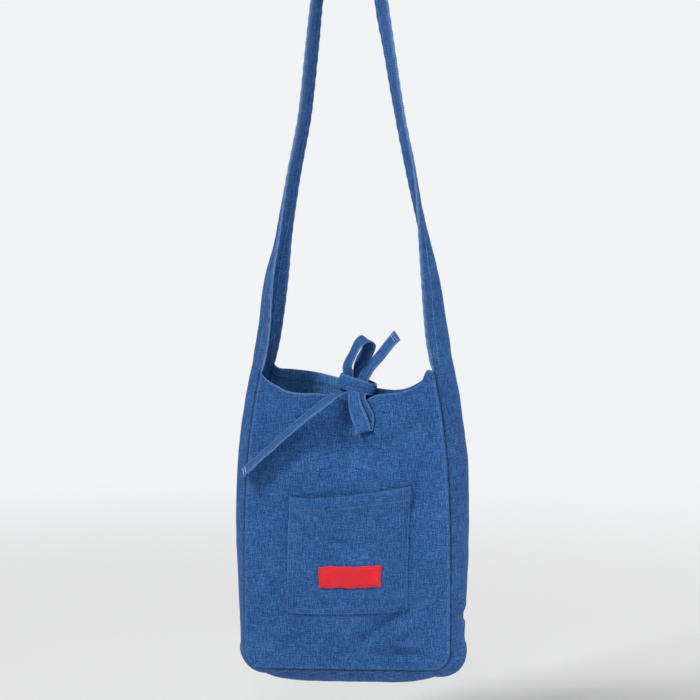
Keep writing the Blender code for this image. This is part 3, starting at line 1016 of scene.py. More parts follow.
@dataclass
class GussetStrap:
    """The strip round the sides and base that goes on as the shoulder strap."""

    form: BagForm
    swell: float = 0.018
    corner_swell: float = 0.0125
    base_sag: float = 0.0235
    hem_width: float = 0.010
    loop_radius: float = 0.030
    corner_fill: float = 0.0085
    corner_fill_reach: float = 0.020
    lean_stations: tuple[Row, ...] = (
        (0.302, 0.0),
        (0.374, -0.002),
        (0.446, -0.004),
        (0.520, -0.002),
        (0.570, 0.0),
    )
    step: float = 0.0042

    def strand_stations(self) -> tuple[Row, ...]:
        """Strap stations: height, half span, width, curl, twist of the right and left strands."""
        form = self.form
        depth = form.gusset_depth
        return (
            (0.0, form.mouth_half_width, depth, self.swell, 0.0, 0.0),
            (0.012, 0.1000, 0.0735, 0.0200, 0.0, 0.0),
            (0.044, 0.0940, 0.066, 0.0212, 0.0, radians(2)),
            (0.112, 0.0870, 0.057, 0.0170, radians(2), radians(8)),
            (0.163, 0.0810, 0.052, 0.0095, radians(8), radians(6)),
            (0.230, 0.0715, 0.048, 0.0050, radians(20), radians(8)),
            (0.302, 0.0580, 0.046, 0.0025, radians(22), radians(8)),
            (0.374, 0.0480, 0.044, 0.0015, radians(25), radians(9)),
            (0.446, 0.0385, 0.043, 0.0010, radians(28), radians(7)),
            (0.520, 0.0320, 0.043, 0.0005, radians(14), radians(4)),
            (form.strap_drop - self.loop_radius, self.loop_radius, 0.043, 0.0, 0.0, 0.0),
        )

    def swell_stations(self) -> tuple[Row, ...]:
        """Swell of the gusset down the side: share of the body's height, swell."""
        return (
            (0.0, self.swell),
            (0.37, 0.0190),
            (0.60, 0.0165),
            (0.80, 0.0140),
            (0.94, 0.0115),
            (1.0, self.corner_swell),
        )

    def half_path(self) -> list[Row]:
        """Stations up the right half: x, z, width, swell, two twists and the hem's thickness."""
        form = self.form
        stations: list[Row] = []
        flat = form.base_half_width - form.corner_radius
        depth = form.gusset_depth
        count = int(flat / self.step)
        for index in range(count):
            x = flat * index / count
            sag = self.corner_swell + (self.base_sag - self.corner_swell) * (1 - (x / flat) ** 6)
            stations.append((x, -form.body_height, depth, sag, 0.0, 0.0, form.cloth))
        for index in range(13):
            angle = index / 12 * pi / 2
            x = flat + form.corner_radius * sin(angle)
            z = -form.body_height + form.corner_radius * (1 - cos(angle))
            stations.append((x, z, depth, self.corner_swell, 0.0, 0.0, form.cloth))
        lowest = -(form.body_height - form.corner_radius)
        count = int(-lowest / self.step)
        for index in range(1, count + 1):
            z = lowest * (1 - index / count)
            swell = smooth(self.swell_stations(), -z / form.body_height)[0]
            stations.append((form.side_half_width(z), z, depth, swell, 0.0, 0.0, form.cloth))
        straight = form.strap_drop - self.loop_radius
        rows = self.strand_stations()
        count = int(straight / self.step)
        for index in range(count + 1):
            height = straight * index / count if index else form.hem_thickness * 0.6
            stations.append(
                (smooth(rows, height)[0], height, *smooth(rows, height)[1:], form.hem_thickness)
            )
        rise = self.loop_radius + form.hem_thickness
        for index in range(1, 15):
            angle = index / 14 * pi / 2
            x = self.loop_radius * cos(angle)
            z = straight + rise * sin(angle)
            stations.append((x, z, rows[-1][2], 0.0, 0.0, 0.0, form.hem_thickness))
        return stations

    def shares(self, station: Row) -> list[float]:
        """Places across a section, closer together at the hems' inner lines.

        Args:
            station: the station.

        Returns:
            Places from -1 to 1.
        """
        fold = 1 - 2 * self.hem_width / station[2]
        edge = (1.0, 0.985, 0.95, 0.85 * (1 - fold) + fold, 0.5 * (1 - fold) + fold)
        step = 0.0009 / station[2]
        inside = [fold * share for share in (0.85, 0.66, 0.44, 0.22)]
        right = [*edge, fold + step, fold - step, *inside]
        return [-value for value in right] + [0.0] + right[::-1]

    def skin(self, station: Row, normal: Vector, along: float, u: float, flip: int) -> tuple:
        """A point of the outer face and the one under it on the inner face.

        Args:
            station: the station.
            normal: the way out from the bag there, as x and z.
            along: length along the strip.
            u: place across, from -1 at the front to 1 at the back.
            flip: 1 on the right half, -1 on the left.

        Returns:
            The outer point and the inner point, in the mouth's frame.
        """
        x, z, width, swell, right, left, hem = station
        twist = right if flip > 0 else left
        if flip > 0:
            beside = bell(x - self.form.base_half_width, self.corner_fill_reach)
            above = bell(z + self.form.body_height, self.corner_fill_reach)
            swell += self.corner_fill * beside * above
        x += flip * smooth(self.lean_stations, z)[0]
        fold = 1 - 2 * self.hem_width / width

        def profile(share: float) -> tuple[float, float]:
            reach = share * width / 2
            out = swell * (1 - abs(share) ** 2.2) - reach * sin(twist)
            inward = (1 - abs(share)) * width / 2
            out += self.unevenness(along * flip, reach, z, inward)
            if hem == self.form.cloth:
                out -= self.form.seam_roll * bell(inward, SEAM_ROLL_REACH)
            return reach * cos(twist), out

        y, out = profile(u)
        y_next, out_next = profile(min(u + 0.01, 1.0))
        y_last, out_last = profile(max(u - 0.01, -1.0))
        run = Vector((y_next - y_last, out_next - out_last)).normalized()
        thickness = hem if abs(u) > fold else self.form.cloth
        if hem > self.form.cloth and abs(u) > 0.97:
            rounding = (abs(u) - 0.97) / 0.03
            thickness *= 1 - 0.45 * rounding
            shift = hem * 0.22 * rounding
            y += run.y * shift
            out -= run.x * shift
        inner_y = y + run.y * thickness
        inner_out = out - run.x * thickness
        outer = Vector((flip * (x + normal.x * out), y, z + normal.y * out))
        inner = Vector((flip * (x + normal.x * inner_out), inner_y, z + normal.y * inner_out))
        return outer, inner

    def unevenness(self, along: float, reach: float, z: float, inward: float) -> float:
        """Soft dents, puckers and the crease low on the right side.

        Args:
            along: length along the strip, below 0 on the left half.
            reach: place across from its middle.
            z: place up.
            inward: distance from the nearest edge.

        Returns:
            How far out the cloth stands.
        """
        loose = min(inward / 0.012, 1.0)
        out = loose * 0.0014 * wander(along * 18, reach * 24, Seed.STRIP_SLOW)
        out += loose * 0.0005 * wander(along * 70, reach * 60, Seed.STRIP_QUICK)
        phase = along * 430 + 2 * wander(along * 30, 2.0, Seed.STRIP_PUCKER)
        out += 0.0004 * sin(phase) * bell(inward - 0.004, 0.005)
        if z < 0 and along > 0:
            crease = Fold(((-0.034, -0.262), (-0.020, -0.292), (0.016, -0.306)), -0.0045, 0.0055)
            out += loose * crease.lift(reach, z)
        return out

    def halves(self) -> list[tuple[Row, Vector, float]]:
        """Stations of the right half with their outward normals and lengths along the strip."""
        path = self.half_path()
        rows = []
        along = 0.0
        for index, station in enumerate(path):
            before = path[max(index - 1, 0)]
            after = path[min(index + 1, len(path) - 1)]
            run = Vector((after[0] - before[0], after[1] - before[1])).normalized()
            normal = Vector((run.y, -run.x))
            if index:
                along += (Vector(station[:2]) - Vector(before[:2])).length
            rows.append((station, normal, along))
        rows[0] = (rows[0][0], Vector((0.0, -1.0)), 0.0)
        rows[-1] = (rows[-1][0], Vector((0.0, 1.0)), along)
        return rows

    def build(self) -> bpy.types.Object:
        """Build and dress the strip.

        Returns:
            The strip.
        """
        right = self.halves()
        ring = [(row, 1) for row in right] + [(row, -1) for row in reversed(right[1:-1])]
        cloth = Cloth("gusset_and_strap")
        count = 0
        for (station, normal, along), flip in ring:
            width = station[2]
            outer, inner = [], []
            for u in self.shares(station):
                skin, lining = self.skin(station, normal, along, u, flip)
                hemmed = station[6] > self.form.cloth
                wear = bell((1 - abs(u)) * width / 2, 0.0011) if hemmed else 0.0
                place = (u * width / 2, along * flip)
                outer.append((skin, place, wear))
                inner.append((lining, (place[0] + 0.2, place[1]), wear))
            section = outer + inner[::-1]
            count = len(section)
            for point, place, wear in section:
                cloth.add(self.form.hung(*point), place, wear)
        for row in range(len(ring)):
            following = (row + 1) % len(ring)
            for column in range(count):
                beside = (column + 1) % count
                cloth.faces.append(
                    (
                        row * count + beside,
                        row * count + column,
                        following * count + column,
                        following * count + beside,
                    )
                )
        strip = cloth.finish(BODY_DENIM.build(), Slot.BODY)
        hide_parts("gusset_strap")
        return strip

    def topstitch(self) -> bpy.types.Object:
        """Two rows of pale thread along each hem, on both faces.

        Returns:
            The stitches.
        """
        rows = StitchRows("strap_topstitching")
        strands = [
            row for row in self.halves() if row[0][6] > self.form.cloth and row[0][1] >= 0.004
        ]
        insets = (0.0018, self.hem_width - 0.0016)
        for flip, edge, inset, face in product((1, -1), (-1, 1), insets, Face):
            path = []
            for station, normal, along in strands:
                u = edge * (1 - 2 * inset / station[2])
                outer, inner = self.skin(station, normal, along, u, flip)
                out = (outer - inner).normalized()
                start = outer if face is Face.OUTER else inner
                path.append((self.form.hung(*start), out * face.value))
            rows.row(path)
        return rows.finish(PALE_THREAD.build(), Slot.BODY)


@dataclass
class Pocket:
    """Patch pocket: a slanted, gaping mouth with a turned hem, sewn down on three sides."""

    panel: Panel
    top_width: float = 0.146
    base_width: float = 0.147
    height: float = 0.147
    top: float = -0.1425
    offset: float = 0.0055
    base_offset: float = 0.0015
    rise: float = 0.0125
    dip: float = 0.0035
    hem: float = 0.016
    gape: float = 0.0110
    turning: float = 0.009
    stitch_insets: Row = (0.0017, 0.0072)
    rows: int = 76
    columns: int = 72

    def flat_place(self, across: float, down: float) -> tuple[float, float, float]:
        """A place on the pocket and how far it stands off the panel.

        Args:
            across: share across.
            down: share down.

        Returns:
            Its x, z and stand-off.
        """
        u = 2 * across - 1
        half = (self.top_width + (self.base_width - self.top_width) * down) / 2
        x = self.offset + (self.base_offset - self.offset) * down + u * half
        top = self.top + self.rise * u / 2 - self.dip * (1 - u**2) * (1 - 0.4 * u)
        base = self.top - self.height - 0.0025 * (1 - u**2) + 0.002 * u
        z = top + (base - top) * down
        stand = self.gape * (1 - u**4) * bell(down, 0.16)
        return x, z, stand

    def shell(self, across: float, down: float) -> Vector:
        """A point on the pocket's outer face, in the frame.

        Args:
            across: share across.
            down: share down.

        Returns:
            The point.
        """
        form = self.panel.form
        x, z, stand = self.flat_place(across, down)
        side_in = (1 - abs(2 * across - 1)) * self.top_width / 2
        base_in = (1 - down) * self.height
        inward = min(side_in, base_in)
        turned = 0.00035 * (1 if inward < self.turning else 0)
        below = down * self.height
        hem = 0.0006 * (1 if below < self.hem else 0)
        pucker = 0.0005 * sin((z if side_in < base_in else x) * 430) * bell(inward - 0.010, 0.004)
        slack = pocket_slack(x, z, inward)
        roll = 0.0007 * bell(inward, 0.0010)
        ahead = form.cloth + 0.0006 + stand + turned + hem + pucker + slack - roll
        return form.hung(x, self.panel.face(x, z) - ahead, z)

    def spaced(self, share: float, lines: Sequence[float]) -> float:
        """Draw rows together at the lines where the cloth steps.

        Args:
            share: an even share.
            lines: where the steps are, from 0 to 1.

        Returns:
            The drawn share.
        """
        pull = sum(0.35 * (line - share) * bell(line - share, 0.02) for line in lines)
        return share + pull

    def build(self) -> bpy.types.Object:
        """Build and dress the pocket.

        Returns:
            The pocket.
        """
        side_line = self.turning / self.top_width
        base_line = self.turning / self.height

        def place(across: float, down: float) -> SheetPoint:
            a = self.spaced(across, (0.0, side_line, 1 - side_line, 1.0))
            d = self.spaced(down, (self.hem / self.height, 1 - base_line, 1.0))
            x, z, _ = self.flat_place(a, d)
            inward = min((1 - abs(2 * a - 1)) * self.top_width / 2, (1 - d) * self.height)
            top = d * self.height
            wear = max(0.15 * bell(top, 0.0010), 0.4 * bell(inward, 0.0008))
            wear = max(wear, 0.25 * bell(top - self.hem, 0.0012))
            return self.shell(a, d), (x + 0.5, z * 1.02 + 0.3), wear

        cloth = sheet_cloth("patch_pocket", self.rows, self.columns, place)
        pocket = cloth.finish(BODY_DENIM.build(), Slot.BODY)
        thicken(pocket, self.panel.form.cloth, 1, rounding=0.0003)
        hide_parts("front_pocket")
        return pocket

    def topstitch(self) -> bpy.types.Object:
        """Double rows down the sides and base, one along the hem, and a tack at each corner.

        Returns:
            The stitches.
        """
        rows = StitchRows("pocket_topstitching", width=0.0005)
        steps = 90
        for inset in self.stitch_insets:
            a = inset / self.top_width
            b = 1 - inset / self.height
            left = [(a, b * index / steps) for index in range(steps + 1)]
            base = [(a + (1 - 2 * a) * index / steps, b) for index in range(steps + 1)]
            right = [(1 - a, b * (1 - index / steps)) for index in range(steps + 1)]
            for path in (left, base, right):
                rows.row(shell_path(self.shell, path))
        line = (self.hem - 0.0015) / self.height
        hem = [(0.01 + 0.98 * index / steps, line) for index in range(steps + 1)]
        rows.row(shell_path(self.shell, hem))
        outer, inner = self.stitch_insets
        for corner in (outer / self.top_width, 1 - inner / self.top_width):
            for index in range(3):
                down = (0.0016 + 0.0011 * index) / self.height
                end = corner + 0.0055 / self.top_width
                tack = [(corner + (end - corner) * step / 4, down) for step in range(5)]
                rows.row(shell_path(self.shell, tack))
        return rows.finish(BLUE_THREAD.build(), Slot.BODY)


@dataclass
class Label:
    """Bare woven label, sewn to the pocket with tone-on-tone thread."""

    pocket: Pocket
    width: float
    height: float = 0.0265
    x: float = 0.0065
    z: float = -0.2455
    turn: float = 0.022
    thickness: float = 0.0008
    stitch_inset: float = 0.0016
    rows: int = 26
    columns: int = 64

    @classmethod
    def from_frame(cls, pocket: Pocket) -> "Label":
        """The label with its width read from the frame.

        Args:
            pocket: the pocket that it is sewn to.

        Returns:
            The label.
        """
        low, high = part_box("pocket_label")
        return cls(pocket, high[0] - low[0])

    def shell(self, across: float, down: float) -> Vector:
        """A point on the label's face, in the frame.

        Args:
            across: share across.
            down: share down.

        Returns:
            The point.
        """
        width, height = self.width, self.height
        panel = self.pocket.panel
        side_in = (1 - abs(2 * across - 1)) * width / 2
        end_in = (1 - abs(2 * down - 1)) * height / 2
        inward = min(side_in, end_in)
        wave = 0.0005 * sin(across * 9.0) + 0.0004 * sin(across * 23.0) * (2 * down - 1)
        x = self.x + (across - 0.5) * width + 0.0004 * sin(down * 7.0) * (2 * across - 1)
        z = self.z + (0.5 - down) * height + (across - 0.5) * width * self.turn + wave
        face = panel.face(x, z) - panel.form.cloth - 0.0006
        face -= pocket_slack(x, z, inward)
        uneven = 0.0004 * wander(across * 5, down * 3, Seed.LABEL_CROWN)
        crown = 0.0010 * min(inward / 0.004, 1.0) + uneven
        return panel.form.hung(x, face - self.thickness - 0.0009 - crown, z)

    def build(self) -> bpy.types.Object:
        """Build and dress the label.

        Returns:
            The label.
        """
        width, height = self.width, self.height

        def place(across: float, down: float) -> SheetPoint:
            return self.shell(across, down), (across * width, -down * height), 0.0

        cloth = sheet_cloth("woven_label", self.rows, self.columns, place)
        label = cloth.finish(LabelFinish().build(), Slot.LABEL)
        thicken(label, self.thickness, 1, rounding=0.0002)
        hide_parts("pocket_label")
        return label

    def topstitch(self) -> bpy.types.Object:
        """One row round the label's edge.

        Returns:
            The stitches.
        """
        rows = StitchRows("label_stitching", pitch=0.0024, length=0.0018, width=0.0004, rise=0.0003)
        width, height = self.width, self.height
        a, b = self.stitch_inset / width, self.stitch_inset / height
        corners = [(a, b), (1 - a, b), (1 - a, 1 - b), (a, 1 - b), (a, b)]
        for (x0, y0), (x1, y1) in zip(corners, corners[1:]):
            path = [(x0 + (x1 - x0) * step / 30, y0 + (y1 - y0) * step / 30) for step in range(31)]
            rows.row(shell_path(self.shell, path))
        return rows.finish(RED_THREAD.build(), Slot.LABEL)


@dataclass(frozen=True)
class Station:
    """A place on a tie's route, the way its width runs there, and the width."""

    place: Row
    across: Row
    width: float


def add_section(
    cloth: Cloth, width: float, at: float, skin: Callable[[float, int], Vector]
) -> None:
    """Add the points round one section of a flat strip.

    Args:
        cloth: the piece.
        width: the strip's width there.
        at: length along the strip.
        skin: gives a point from its share across and its face, 1 or -1.
    """
    for face, order in ((1, STRIP_SHARES), (-1, STRIP_SHARES[::-1])):
        for share in order:
            wear = STRIP_WEAR * bell((1 - abs(share)) * width / 2, STRIP_WEAR_REACH)
            cloth.add(skin(share, face), (share * width / 2 + 0.05 * face, at), wear)


@dataclass
class Tie:
    """A flat sewn tie, laid along a route."""

    form: BagForm
    name: str
    route: Sequence[Station]
    thickness: float = 0.0018
    pitch: float = 0.0016

    def sections(self) -> list[tuple[Vector, Vector, Vector, float, float]]:
        """Centre, way across, facing, width and length along, for each section."""
        chords = [0.0]
        for station, following in zip(self.route, self.route[1:]):
            run = Vector(following.place) - Vector(station.place)
            chords.append(chords[-1] + run.length)
        rows = [(c, *s.place, *s.across, s.width) for c, s in zip(chords, self.route)]
        total = chords[-1]
        steps = int(total / self.pitch)
        result = []
        for step in range(steps + 1):
            at = total * step / steps
            values = smooth(rows, at)
            before = Vector(smooth(rows, max(at - total / 400, 0.0))[:3])
            after = Vector(smooth(rows, min(at + total / 400, total))[:3])
            along = (after - before).normalized()
            across = Vector(values[3:6])
            across = (across - along * across.dot(along)).normalized()
            result.append((Vector(values[:3]), across, along.cross(across), values[6], at))
        return result

    def skin(self, section: tuple, share: float, face: int) -> Vector:
        """A point on one face of the tie.

        Args:
            section: the section.
            share: place across, from -1 to 1.
            face: 1 or -1.

        Returns:
            The point, in the frame.
        """
        centre, across, facing, width, at = section
        half = self.thickness / 2
        edge = abs(share)
        rounding = edge_rounding(edge)
        trough = 0.00016 * bell((edge - 0.80) * width / 2, 0.0009)
        sway = 0.00035 * wander(at * 60, share, Seed.TIE)
        lift = face * (half * rounding - trough) + sway
        return self.form.hung(*(centre + across * share * width / 2 + facing * lift))

    def add_to(self, cloth: Cloth) -> None:
        """Add the tie's skin to a piece.

        Args:
            cloth: the piece.
        """
        sections = self.sections()
        first = len(cloth.points)
        count = 2 * len(STRIP_SHARES)
        for section in sections:
            add_section(cloth, section[3], section[4], partial(self.skin, section))
        for row in range(len(sections) - 1):
            for column in range(count):
                beside = (column + 1) % count
                a = first + row * count
                cloth.faces.append((a + column, a + beside, a + count + beside, a + count + column))
        for start, forward in ((first, True), (first + (len(sections) - 1) * count, False)):
            for column in range(len(STRIP_SHARES) - 1):
                quad = (
                    start + column,
                    start + count - 1 - column,
                    start + count - 2 - column,
                    start + column + 1,
                )
                cloth.faces.append(quad if forward else quad[::-1])

    def topstitch(self, rows: StitchRows) -> None:
        """Lay a row of thread near each edge, on both faces.

        Args:
            rows: the rows that they are added to.
        """
        sections = self.sections()
        for face in (1, -1):
            for share in STRIP_STITCH_SHARES:
                path = []
                for section in sections:
                    place = self.skin(section, share, face)
                    path.append((place, section[2] * face))
                rows.row(path)


@dataclass
class Bow:
    """The two ties and the bow that they make over the mouth."""

    form: BagForm
    front: Panel
    back: Panel
    width: float = 0.019
    knot_width: float = 0.014
    band_width: float = 0.018
    band_half_length: float = 0.0218
    band_half_depth: float = 0.0085
    band_tilt: float = radians(-16)
    centre: Row = (0.007, -0.003, -0.0205)
    thickness: float = 0.0018

    def ahead(self, x: float, z: float, clearance: float) -> Row:
        """A place in front of the front panel.

        Args:
            x: place across.
            z: place up.
            clearance: how far ahead of the panel's face.

        Returns:
            The place.
        """
        return (x, self.front.face(x, z) - clearance, z)

    def front_tie(self) -> Tie:
        """Out of the front edge, up through the knot, over the upper loop, down as a tail."""
        form = self.form
        _, cy, cz = self.centre
        level = (1.0, 0.0, 0.0)
        knot, wide = self.knot_width, self.width
        inside = form.hem_thickness + form.seam_gap + self.thickness / 2 + 0.0004
        low = self.front.edge[8][1] - form.mouth_hem
        rear, middle = cy + 0.0030, cy - 0.0008
        upper_face = (0.27, -0.89, -0.31)
        route = [
            Station(self.ahead(0.010, low, -inside), level, wide),
            Station(self.ahead(0.010, low + 0.010, -(inside + 0.0003)), level, wide),
            Station((0.009, rear - 0.003, cz - 0.012), level, knot),
            Station((0.008, rear, cz), (0.97, -0.1, -0.15), knot),
            Station((0.0085, rear + 0.001, cz + 0.014), (0.92, -0.25, -0.2), knot + 0.002),
            Station((0.0110, 0.0062, 0.006), (0.87, -0.40, -0.2), wide),
            Station((0.0172, 0.0075, 0.018), (0.85, -0.42, -0.25), wide),
            Station((0.0208, 0.0062, 0.0285), (0.80, -0.5, -0.35), wide),
            Station((0.0168, 0.0000, 0.0345), (0.72, -0.6, -0.35), wide),
            Station((0.0095, -0.0055, 0.0305), (0.64, -0.72, -0.2), wide),
            Station((0.0028, -0.0085, 0.018), (0.60, -0.78, 0.0), wide),
            Station((-0.0040, -0.0070, 0.003), (0.66, -0.72, 0.0), wide),
            Station((-0.0036, middle - 0.0015, cz + 0.013), (0.9, -0.3, 0.15), knot),
            Station((-0.0036, middle, cz), (0.97, 0.0, 0.2), knot),
            Station((-0.0088, middle - 0.0040, cz - 0.0082), (0.95, -0.1, 0.1), knot - 0.001),
            Station((-0.0160, -0.0275, -0.0300), (0.72, -0.62, -0.10), knot),
            Station((-0.0265, -0.0400, -0.0370), (0.45, -0.78, -0.36), knot + 0.002),
            Station((-0.0380, -0.0470, -0.0457), upper_face, wide),
            Station((-0.0538, -0.0505, -0.0580), upper_face, wide),
            Station((-0.0757, -0.0530, -0.0773), upper_face, wide),
            Station((-0.0984, -0.0540, -0.0974), upper_face, wide),
            Station((-0.1239, -0.0540, -0.1199), upper_face, wide),
        ]
        return Tie(form, "front_tie_strap", route, self.thickness)

    def back_root(self) -> Tie:
        """Out of the back edge to the knot."""
        form = self.form
        _, cy, cz = self.centre
        edge_drop, edge_y = smooth(self.back.edge, 0.006)
        inside = form.hem_thickness + form.seam_gap + self.thickness / 2 + 0.0008
        level = (1.0, -0.05, -0.1)
        band_face = cy + self.band_half_depth + 0.0009
        hem_line = edge_drop - form.mouth_hem
        route = [
            Station((0.006, edge_y - inside + 0.0006, hem_line), level, self.width),
            Station((0.006, edge_y - inside - 0.0001, edge_drop - 0.003), level, self.width),
            Station((0.006, band_face, cz + 0.0055), level, self.width - 0.002),
        ]
        return Tie(form, "back_tie_root", route, self.thickness)

    def back_loop(self) -> Tie:
        """Out of the band, down as the lower loop, back up through the knot as the upper tail."""
        _, cy, cz = self.centre
        wall = cy - self.band_half_depth
        level = (1.0, -0.05, -0.1)
        down = (0.97, -0.14, 0.10)
        fold = (0.95, -0.13, 0.22)
        knot, wide = self.knot_width, self.width
        route = [
            Station((0.0030, wall + 0.0011, cz + 0.002), level, knot),
            Station((0.0037, wall - 0.0002, cz - 0.007), level, knot),
            Station((0.0054, wall - 0.0050, cz - 0.013), level, knot),
            Station(self.ahead(0.0070, -0.0430, 0.0085), down, wide - 0.002),
            Station(self.ahead(0.0120, -0.0550, 0.0115), down, wide),
            Station(self.ahead(0.0170, -0.0650, 0.0125), down, wide),
            Station(self.ahead(0.0200, -0.0722, 0.0105), fold, wide),
            Station(self.ahead(0.0212, -0.0730, 0.0072), fold, wide),
            Station(self.ahead(0.0215, -0.0670, 0.0052), down, wide),
            Station(self.ahead(0.0205, -0.0570, 0.0048), down, wide),
            Station(self.ahead(0.0168, -0.0470, 0.0054), down, wide - 0.003),
            Station((0.0130, wall - 0.0041, cz - 0.0165), (1.0, -0.08, 0.0), knot - 0.001),
            Station((0.0125, wall + 0.0022, cz - 0.0080), level, knot - 0.001),
            Station((0.0135, wall + 0.0038, cz), level, knot - 0.001),
            Station((0.0160, wall + 0.0045, cz + 0.010), (0.9, -0.2, -0.35), knot),
            Station((0.0228, -0.0072, 0.0000), (0.58, -0.68, -0.45), wide - 0.002),
            Station((0.0364, -0.0080, 0.0160), (0.50, -0.75, -0.42), wide),
            Station((0.0475, -0.0075, 0.0300), (0.50, -0.75, -0.42), wide),
            Station((0.0560, -0.0080, 0.0395), (0.55, -0.70, -0.45), wide),
        ]
        return Tie(self.form, "back_tie_loop", route, self.thickness)

    def band_point(self, angle: float, share: float, face: int) -> Vector:
        """A point on the band that the back tie makes round the knot.

        Args:
            angle: place round the knot.
            share: place across the band, from -1 at its lower edge to 1.
            face: 1 outside, -1 inside.

        Returns:
            The point, in the frame.
        """
        cx, cy, cz = self.centre
        c, s = cos(angle), sin(angle)
        x = self.band_half_length * abs(c) ** 0.75 * (1 if c > 0 else -1)
        y = self.band_half_depth * abs(s) ** 0.75 * (1 if s > 0 else -1)
        out = Vector((c / self.band_half_length, s / self.band_half_depth, 0)).normalized()
        width = self.band_width * (1 - 0.22 * max(c, 0.0))
        edge = abs(share)
        rounding = edge_rounding(edge)
        crease = 0.0006 * sin(share * 5.0 + angle * 1.5) * (1 - edge)
        lift = 0.0010 * (1 - share**2) + crease + face * rounding * self.thickness / 2
        px, py, pz = x + out.x * lift, y + out.y * lift, share * width / 2
        tilt = self.band_tilt
        return self.form.hung(
            cx + px * cos(tilt) - pz * sin(tilt),
            cy + py,
            cz + px * sin(tilt) + pz * cos(tilt),
        )

    def add_band(self, cloth: Cloth) -> None:
        """Add the band's skin to a piece.

        Args:
            cloth: the piece.
        """
        steps = 110
        first = len(cloth.points)
        count = 2 * len(STRIP_SHARES)
        girth = 4 * (self.band_half_length + self.band_half_depth) * 0.85
        for step in range(steps):
            angle = 2 * pi * step / steps
            at = girth * step / steps
            add_section(cloth, self.band_width, at, partial(self.band_point, angle))
        for row in range(steps):
            a = first + row * count
            b = first + (row + 1) % steps * count
            for column in range(count):
                beside = (column + 1) % count
                cloth.faces.append((a + column, b + column, b + beside, a + beside))

    def band_stitches(self, rows: StitchRows) -> None:
        """Lay the band's two rows of thread.

        Args:
            rows: the rows that they are added to.
        """
        steps = 120
        for share in STRIP_STITCH_SHARES:
            path = []
            for step in range(steps + 1):
                angle = 2 * pi * step / steps
                outer = self.band_point(angle, share, 1)
                inner = self.band_point(angle, share, -1)
                path.append((outer, (outer - inner).normalized()))
            rows.row(path)

    def tail_tacks(self, tie: Tie, name: str) -> bpy.types.Object:
        """White thread that closes a tie's end.

        Args:
            tie: the tie.
            name: the piece's name.

        Returns:
            The stitches.
        """
        rows = StitchRows(name, pitch=0.0026, length=0.0024, width=0.0007, rise=0.0006)
        sections = tie.sections()
        for back in (2, 4):
            section = sections[-1 - back]
            for face in (1, -1):
                path = []
                for step in range(9):
                    share = -0.82 + 1.64 * step / 8
                    path.append((tie.skin(section, share, face), section[2] * face))
                rows.row(path)
        return rows.finish(WHITE_THREAD.build(), Slot.TIE)

    def build(self) -> list[bpy.types.Object]:
        """Build and dress both ties.

        Returns:
            The ties and their stitches.
        """
        front = self.front_tie()
        loop, root = self.back_loop(), self.back_root()
        denim = TIE_DENIM.build()
        front_cloth = Cloth("front_tie_strap")
        front.add_to(front_cloth)
        front_piece = front_cloth.finish(denim, Slot.TIE)
        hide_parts("front_tie")
        back_cloth = Cloth("back_tie_strap")
        self.add_band(back_cloth)
        loop.add_to(back_cloth)
        root.add_to(back_cloth)
        back_piece = back_cloth.finish(denim, Slot.TIE)
        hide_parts("back_tie")
        rows = StitchRows("tie_topstitching", width=0.00045, rise=0.00032)
        for tie in (front, loop, root):
            tie.topstitch(rows)
        self.band_stitches(rows)
        stitches = rows.finish(PALE_THREAD.build(), Slot.TIE)
        front_tacks = self.tail_tacks(front, "front_tail_tacks")
        back_tacks = self.tail_tacks(loop, "back_tail_tacks")
        return [front_piece, back_piece, stitches, front_tacks, back_tacks]


LAMPS = (
    ("key_lamp", (-1.7, -1.8, 1.7), 0.8, 84.0),
    ("front_lamp", (0.15, -2.2, 1.3), 0.6, 13.0),
    ("fill_lamp", (2.6, -0.9, -0.2), 1.6, 36.0),
    ("rear_lamp", (0.4, 2.3, 0.7), 1.6, 22.0),
)


